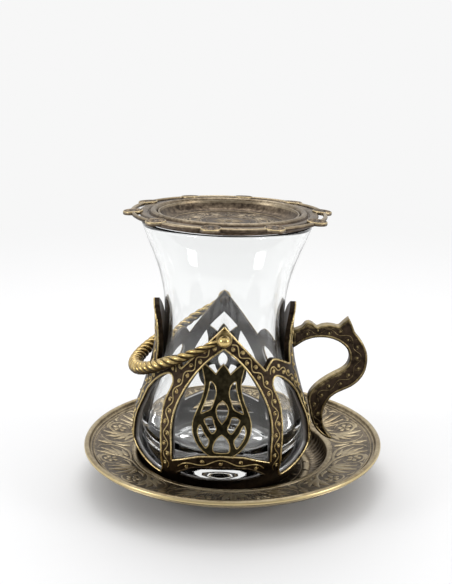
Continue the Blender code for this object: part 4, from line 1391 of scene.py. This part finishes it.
def eye_mesh(sign):
    """A ring at the rope's end, which swings on its rivet."""
    near = interpolate(HOLDER_PROFILE, RIVET_HEIGHT) + GAP
    far = near + EYE_THICKNESS
    section = [
        (EYE_INNER_RADIUS, near + 0.3), (EYE_INNER_RADIUS + 0.3, near), (EYE_OUTER_RADIUS - 0.5, near),
        (EYE_OUTER_RADIUS - 0.1, near + 0.4), (EYE_OUTER_RADIUS, (near + far) / 2),
        (EYE_OUTER_RADIUS - 0.1, far - 0.4), (EYE_OUTER_RADIUS - 0.5, far), (EYE_INNER_RADIUS + 0.3, far),
        (EYE_INNER_RADIUS, far - 0.3),
    ]

    def laid(row, k, point):
        x, y, z = point
        return (x, -sign * z, RIVET_HEIGHT + y), row[2]

    return solid_mesh("rope_eye", *turned([row + (0.6,) for row in section], 36, laid), smooth_angle=50)


# Handle

def handle_outline(step):
    return joined([
        smooth_run(HANDLE_TOP, step), smooth_run(HANDLE_BACK, step), smooth_run(HANDLE_FRONT, step),
        smooth_run([HANDLE_FRONT[-1], HANDLE_TOP[0]], step),
    ])


def handle_mesh():
    """The handle, a single casting: a dark slab whose polished edges stay light only where they face up, with
    painted shade on the edges that face down.
    """
    outline = handle_outline(0.9)
    flat, faces = triangulate([outline], 2.0)
    points, solid = thick_sheet(
        flat, faces, lambda point, depth: (point[0], depth, point[1]), -HANDLE_FACE, HANDLE_FACE)
    edge = [0.75 if distance_to([outline], point) < 0.1 else 0.1 for point in flat]
    mesh = solid_mesh("handle_slab", points, solid, edge * 2, smooth_angle=50)
    # Painted shade on the slab's downward faces, so its rim is light only on top
    paint_shade_below(mesh, 0.05, 0.6)
    return mesh


def handle_strokes(sizes):
    """Border lines and the scroll on both faces of the handle."""
    radius = HANDLE_BORDER_RADIUS
    run = handle_outline(0.9)
    area = sum(a.x * b.y - b.x * a.y for a, b in zip(run, run[1:] + run[:1]))
    border = offset_run(run, radius * 0.95 * (1 if area > 0 else -1), closed=True)
    border.append(border[0].copy())
    strokes, balls = vine(
        HANDLE_VINE, 0.95, sizes.vine_period / MM * 1.15, sizes.vine / MM, sizes.ball / MM * 1.1, worn=0.55)
    lines, dots = [], []
    for side in (1, -1):
        face = side * HANDLE_FACE
        depth = side * (HANDLE_FACE - radius * 0.35)
        lines.append(([Vector((p.x, depth, p.y)) for p in border], [radius] * len(border), 0.8))
        for line, radii, worn in strokes:
            lines.append(([Vector((p.x, face, p.y)) for p in line], radii, worn))
        for point, size, worn in balls:
            dots.append((Vector((point.x, side * (HANDLE_FACE - 0.1), point.y)), size, 0.6))
    return lines, dots


# Glass

def glass_mesh():
    """Outside from the foot up, over the round rim and down the inside to the thick bottom."""
    outside = smooth_run(GLASS_OUTSIDE, 1.2)
    low, high = GLASS_INSIDE_HEIGHT, GLASS_RIM_HEIGHT
    wall_inside = []
    for radius, height in reversed(outside):
        if height > GLASS_BOWL_TOP:
            share = (height - low) / (high - low)
            wall = GLASS_WALL_FOOT + (GLASS_WALL_RIM - GLASS_WALL_FOOT) * share
            wall_inside.append((radius - wall, height))
    rim_middle = GLASS_OUTSIDE[-1][0] - GLASS_WALL_RIM / 2
    rim = [(rim_middle + out, GLASS_RIM_HEIGHT - down) for out, down in GLASS_RIM_ROUNDING]
    bowl = smooth_run([wall_inside[-1]] + GLASS_BOWL, 1.2)[1:]
    foot = smooth_run(GLASS_FOOT, 1.2)[:-1]
    section = [(*point, 0.0) for point in outside + rim + wall_inside + bowl + foot]
    return solid_mesh("glass_body", *turned(section, 144), smooth_angle=60)


# Lid

def lid_mesh():
    """The turned plate: floor, cove, two beads, flat ring, skirt and the ring that fits the glass."""
    runs = [
        (LID_FLOOR, 0.15), (LID_COVE, 0.35), (LID_INNER_BEAD, 1.1), (LID_GROOVE, -0.6), (LID_BEAD, 0.7),
        (LID_OUTER_GROOVE, -0.6), (LID_PLATE, 0.45), (LID_SKIRT, 0.0), (LID_UNDER, 0.0),
    ]
    section = []
    for run, worn in runs:
        plain = run in (LID_FLOOR, LID_UNDER)
        section += [(*point, worn) for point in smooth_run(run, 3.0 if plain else 0.35)[:-1]]
    section.append((*LID_UNDER[-1], 0.1))
    return solid_mesh("lid_plate", *turned(section, 200), smooth_angle=50)


def disc_mesh(ridges):
    """One disc of the garland, with radial ridges on top and a raised rim, and its stem."""
    low, high = DISC_HEIGHTS
    edge = DISC_RADIUS
    # The rim rows are set brightest: polish, with a painted highlight along the edge
    section = [
        (0.0, high - 0.05, 0.5), (0.5, high - 0.1, 0.4), (0.9, high - 0.25, 0.0),
        (1.6, high - 0.2, 0.45, "ribs"), (edge - 0.9, high - 0.18, 0.45, "ribs"),
        (edge - 0.6, high - 0.2, 0.1), (edge - 0.4, high - 0.03, 0.6), (edge - 0.25, high, 1.3),
        (edge - 0.07, high - 0.12, 1.6), (edge, high - 0.35, 1.5),
        (edge, low + 0.25, 0.8), (edge - 0.2, low, 0.2), (0.0, low, 0.1),
    ]

    def ribbed(row, k, point):
        x, y, z = point
        worn = row[2]
        if "ribs" in row:
            rib = math.cos(2 * math.pi * k / 4)
            z += DISC_RIB_HEIGHT * rib
            worn = 0.25 + 0.35 * rib
        dropped = math.sin(math.radians(DISC_DROOP)) * x
        return (x + DISC_RING_RADIUS, y, z - dropped), worn

    points, faces, worn = turned(section, ridges * 4, ribbed)
    first = len(points)
    inner, outer = STEM_RADII
    for height in STEM_HEIGHTS:
        for reach, side in ((inner, -1), (outer, -1), (outer, 1), (inner, 1)):
            points.append((reach, side * STEM_WIDTH / 2, height))
            worn.append(0.5)
    for face in ((3, 2, 1, 0), (4, 5, 6, 7), (0, 1, 5, 4), (1, 2, 6, 5), (2, 3, 7, 6), (3, 0, 4, 7)):
        faces.append(tuple(first + i for i in face))
    return solid_mesh("lid_disc", points, faces, worn, smooth_angle=50)


def garland_strokes():
    """The round bar from one disc to the next, which stands clear of the plate and bulges out a little."""
    span = 2 * math.pi / DISC_COUNT
    line = []
    for k in range(GARLAND_STEPS + 1):
        share = GARLAND_START + (1.0 - 2.0 * GARLAND_START) * k / GARLAND_STEPS
        reach = DISC_RING_RADIUS + GARLAND_BULGE * math.sin(math.pi * share)
        line.append(Vector((reach * math.cos(span * share), reach * math.sin(span * share), GARLAND_HEIGHT)))
    return [(line, [GARLAND_RADIUS] * len(line), 1.15)]


def lid_engraving(sizes, material):
    """Leaves on the lid's floor round a rosette, inside fine ring lines."""
    leaves = relief_on_ring(
        "lid_leaves", acanthus_sector(LID_LEAF_RADIUS, sizes.sectors), LID_LEAF_RADIUS,
        lambda reach: LID_FLOOR_HEIGHT, 0.3, sizes.sectors, material)
    start, middle, end = ROSETTE_RADII
    strokes = []
    for k in range(ROSETTE_PETALS):
        angle = 2 * math.pi * k / ROSETTE_PETALS
        out = Vector((math.cos(angle), math.sin(angle), 0.0))
        across = Vector((-out.y, out.x, 0.0))
        for side in (1, -1):
            petal = smooth_run([out * start, out * middle + across * side, out * end], 0.5)
            petal = [point + Vector((0.0, 0.0, LID_FLOOR_HEIGHT - 0.1)) for point in petal]
            strokes.append(tapered(petal, 0.3, 0.9))
    strokes += [ring_line(*line) for line in LID_LINES]
    return leaves, raised("lid_rosette", strokes, material, sides=6)


def lid_place():
    return SEAT @ Matrix.Translation((LID_OFFSET * MM, 0.0, 0.0))


def garland_place():
    first = math.radians(FIRST_DISC_ANGLE - 90.0)
    return lid_place() @ Matrix.Rotation(first, 4, "Z")


# Operators

class TeaSaucerOperator(bpy.types.Operator):
    """Build the saucer with its flutes, ticks and scrolls"""

    bl_idname = "tea_glass.saucer"
    bl_label = "Saucer"

    def execute(self, context):
        sizes = context.scene.tea_saucer
        material = kept(
            antique_plate, "saucer plate", sizes.ground, sizes.relief, 0.42, 0.34, bright=sizes.rim,
            hatch=sizes.hatch)
        add_piece("saucer_dish", saucer_mesh(sizes), material, LEVEL, node="saucer")
        names = ("saucer_leaves", "saucer_lines", "saucer_scallops")
        for name, mesh in zip(names, saucer_ornament(sizes, material)):
            add_piece(name, mesh, material, LEVEL)
        return {"FINISHED"}


class TeaHolderOperator(bpy.types.Operator):
    """Build the openwork wall, its floor, borders and scrolls"""

    bl_idname = "tea_glass.holder"
    bl_label = "Holder"

    def execute(self, context):
        sizes = context.scene.tea_holder
        material = kept(
            antique_plate, "holder plate", sizes.ground, sizes.relief, 0.46, 0.28, sizes.bright, sizes.cast)
        add_piece("holder_wall", holder_wall_mesh(), material, SEAT, node="holder")
        add_piece("holder_floor", holder_floor_mesh(), material, SEAT)
        borders = raised("holder_borders", border_strokes(sizes.border / MM), material)
        add_piece("holder_borders", borders, material, SEAT)
        lines, dots = vine_strokes(sizes)
        vines = raised("holder_vines", lines, material, sides=6)
        add_piece("holder_vines", vines, material, SEAT)
        balls = beaded("holder_balls", dots, material)
        add_piece("holder_balls", balls, material, SEAT)
        return {"FINISHED"}


class TeaTulipOperator(bpy.types.Operator):
    """Build the two pierced tulips in the arches"""

    bl_idname = "tea_glass.tulips"
    bl_label = "Tulips"

    def execute(self, context):
        sizes = context.scene.tea_holder
        ground = (sizes.ground[0] * 0.75, sizes.ground[1] * 0.9, sizes.ground[2] * 0.7)
        material = kept(antique_plate, "tulip plate", ground, sizes.relief, 0.42, 0.36)
        plates, edges = tulip_meshes(material)
        for name, plate in zip(("tulip_front", "tulip_rear"), plates):
            add_piece(name, plate, material, SEAT)
        add_piece("tulip_edges", edges, material, SEAT)
        return {"FINISHED"}


class TeaRopeOperator(bpy.types.Operator):
    """Build the twisted rope bail, its eyes and the two rivets"""

    bl_idname = "tea_glass.rope"
    bl_label = "Rope bail and rivets"

    def execute(self, context):
        sizes = context.scene.tea_rope
        material = kept(antique_plate, "worn brass", sizes.groove, sizes.brass, 0.42, 0.26)
        strokes, middle, radii = rope_strokes(sizes)
        rope = raised("rope_strands", strokes, material, sides=16)
        darken_grooves_and_shade_below(rope, middle, radii)
        add_piece("rope_strands", rope, material, SEAT, body=ROPE_BODY, node="rope_handle")
        for name, sign in (("rope_eye_front", 1), ("rope_eye_rear", -1)):
            add_piece(name, eye_mesh(sign), material, SEAT, body=ROPE_BODY)
        for name, sign in (("rivet_front", 1), ("rivet_rear", -1)):
            add_piece(name + "_ball", rivet_mesh(sign), material, SEAT, node=name)
        return {"FINISHED"}


class TeaHandleOperator(bpy.types.Operator):
    """Build the scrolled handle"""

    bl_idname = "tea_glass.handle"
    bl_label = "Handle"

    def execute(self, context):
        sizes = context.scene.tea_holder
        relief = [c * 0.8 for c in sizes.relief]
        material = kept(antique_plate, "handle plate", sizes.ground, relief, 0.46, 0.3, sizes.bright)
        add_piece("handle_slab", handle_mesh(), material, SEAT, node="handle")
        lines, dots = handle_strokes(sizes)
        border = raised("handle_lines", lines, material)
        # Painted shade on the lower sides of the handle's raised lines
        paint_shade_below(border, -0.8, 0.6)
        add_piece("handle_lines", border, material, SEAT)
        balls = beaded("handle_balls", dots, material)
        add_piece("handle_balls", balls, material, SEAT)
        return {"FINISHED"}


class TeaGlassOperator(bpy.types.Operator):
    """Build the tulip-waisted glass"""

    bl_idname = "tea_glass.glass"
    bl_label = "Glass"

    def execute(self, context):
        material = kept(clear_glass, "clear glass", context.scene.tea_body)
        add_piece("glass_body", glass_mesh(), material, SEAT, node="glass")
        return {"FINISHED"}


class TeaLidOperator(bpy.types.Operator):
    """Build the lid, its engraving and its garland of discs"""

    bl_idname = "tea_glass.lid"
    bl_label = "Lid"

    def execute(self, context):
        sizes = context.scene.tea_lid
        material = kept(antique_plate, "lid plate", sizes.ground, sizes.relief, 0.44, 0.36, sizes.bright)
        add_piece("lid_plate", lid_mesh(), material, lid_place(), node="lid")
        for name, mesh in zip(("lid_leaves", "lid_rosette"), lid_engraving(sizes, material)):
            add_piece(name, mesh, material, lid_place())
        discs = repeated(disc_mesh(sizes.ridges), DISC_COUNT, material)
        # Painted shade on the discs' undersides, so their bright rims stay light only on top
        paint_shade_below(discs, -0.3, 0.25)
        add_piece("lid_discs", discs, material, garland_place())
        garland = raised("lid_garland", garland_strokes(), material, copies=DISC_COUNT, sides=10)
        # Painted shade on the garland's lower half, so it is light only on top
        paint_shade_below(garland, 0.0, 0.55)
        add_piece("lid_garland", garland, material, garland_place())
        return {"FINISHED"}


class TeaStageOperator(bpy.types.Operator):
    """Set up the floor, the light and the camera"""

    bl_idname = "tea_glass.stage"
    bl_label = "Stage"

    def execute(self, context):
        sizes = context.scene.tea_stage
        scene = context.scene
        mesh = bpy.data.meshes.new("floor")
        corners = [(x * FLOOR_REACH, y * FLOOR_REACH, 0.0) for x, y in ((-1, -1), (1, -1), (1, 1), (-1, 1))]
        mesh.from_pydata(corners, [], [(0, 1, 2, 3)])
        floor = bpy.data.objects.new("floor", mesh)
        scene.collection.objects.link(floor)
        finish = Finish("pale floor")
        finish.set("Base Color", opaque(sizes.floor))
        finish.set("Roughness", finish.noise(FLOOR_PATCH) * 0.1 + 0.6)
        finish.fade_to_light(sizes.fade_start, sizes.fade_end, sizes.backdrop)
        mesh.materials.append(finish.material)
        scene.world = studio_light(sizes)
        for (name, place, size), power in zip(LAMPS, (sizes.top, sizes.side, sizes.side)):
            lamp = bpy.data.lights.new(name, "AREA")
            lamp.size = size
            lamp.energy = power
            light = bpy.data.objects.new(name, lamp)
            light.location = place
            aim = Vector(LAMP_TARGET) - Vector(place)
            light.rotation_euler = aim.to_track_quat("-Z", "Y").to_euler()
            scene.collection.objects.link(light)
        scene.view_settings.view_transform = "Standard"
        view = bpy.data.cameras.new("camera")
        view.sensor_fit = "VERTICAL"
        view.sensor_height = CAMERA_SENSOR
        view.lens = CAMERA_LENS
        view.clip_start = 0.01
        camera = bpy.data.objects.new("camera", view)
        camera.location = CAMERA_PLACE
        camera.rotation_euler = (math.radians(CAMERA_PITCH), 0.0, 0.0)
        scene.collection.objects.link(camera)
        scene.camera = camera
        return {"FINISHED"}


class TeaGlassPanel(bpy.types.Panel):
    """Sizes, colours and build steps"""

    bl_idname = "VIEW3D_PT_tea_glass"
    bl_label = "Tea Glass"
    bl_space_type = "VIEW_3D"
    bl_region_type = "UI"
    bl_category = "Tea Glass"

    def draw(self, context):
        layout = self.layout
        for group, steps in PANEL_ROWS:
            box = layout.box()
            values = getattr(context.scene, group)
            for key in values.bl_rna.properties.keys():
                if key not in ("rna_type", "name"):
                    box.prop(values, key)
            for step in steps:
                box.operator(step.bl_idname)


PANEL_ROWS = (
    ("tea_saucer", (TeaSaucerOperator,)),
    ("tea_holder", (TeaHolderOperator, TeaTulipOperator, TeaHandleOperator)),
    ("tea_rope", (TeaRopeOperator,)),
    ("tea_body", (TeaGlassOperator,)),
    ("tea_lid", (TeaLidOperator,)),
    ("tea_stage", (TeaStageOperator,)),
)
GROUPS = (
    ("tea_saucer", TeaSaucerSizes), ("tea_holder", TeaHolderSizes), ("tea_rope", TeaRopeSizes),
    ("tea_lid", TeaLidSizes), ("tea_body", TeaGlassSizes), ("tea_stage", TeaStageSizes),
)
OPERATORS = (
    TeaStageOperator, TeaSaucerOperator, TeaHolderOperator, TeaTulipOperator, TeaRopeOperator,
    TeaHandleOperator, TeaGlassOperator, TeaLidOperator,
)


def register():
    for name, group in GROUPS:
        bpy.utils.register_class(group)
        setattr(bpy.types.Scene, name, PointerProperty(type=group))
    for operator in OPERATORS:
        bpy.utils.register_class(operator)
    bpy.utils.register_class(TeaGlassPanel)


def unregister():
    bpy.utils.unregister_class(TeaGlassPanel)
    for operator in reversed(OPERATORS):
        bpy.utils.unregister_class(operator)
    for name, group in reversed(GROUPS):
        delattr(bpy.types.Scene, name)
        bpy.utils.unregister_class(group)


def main():
    register()
    for operator in OPERATORS:
        family, step = operator.bl_idname.split(".")
        getattr(getattr(bpy.ops, family), step)()
    bpy.context.view_layer.update()


if __name__ == "__main__":
    main()
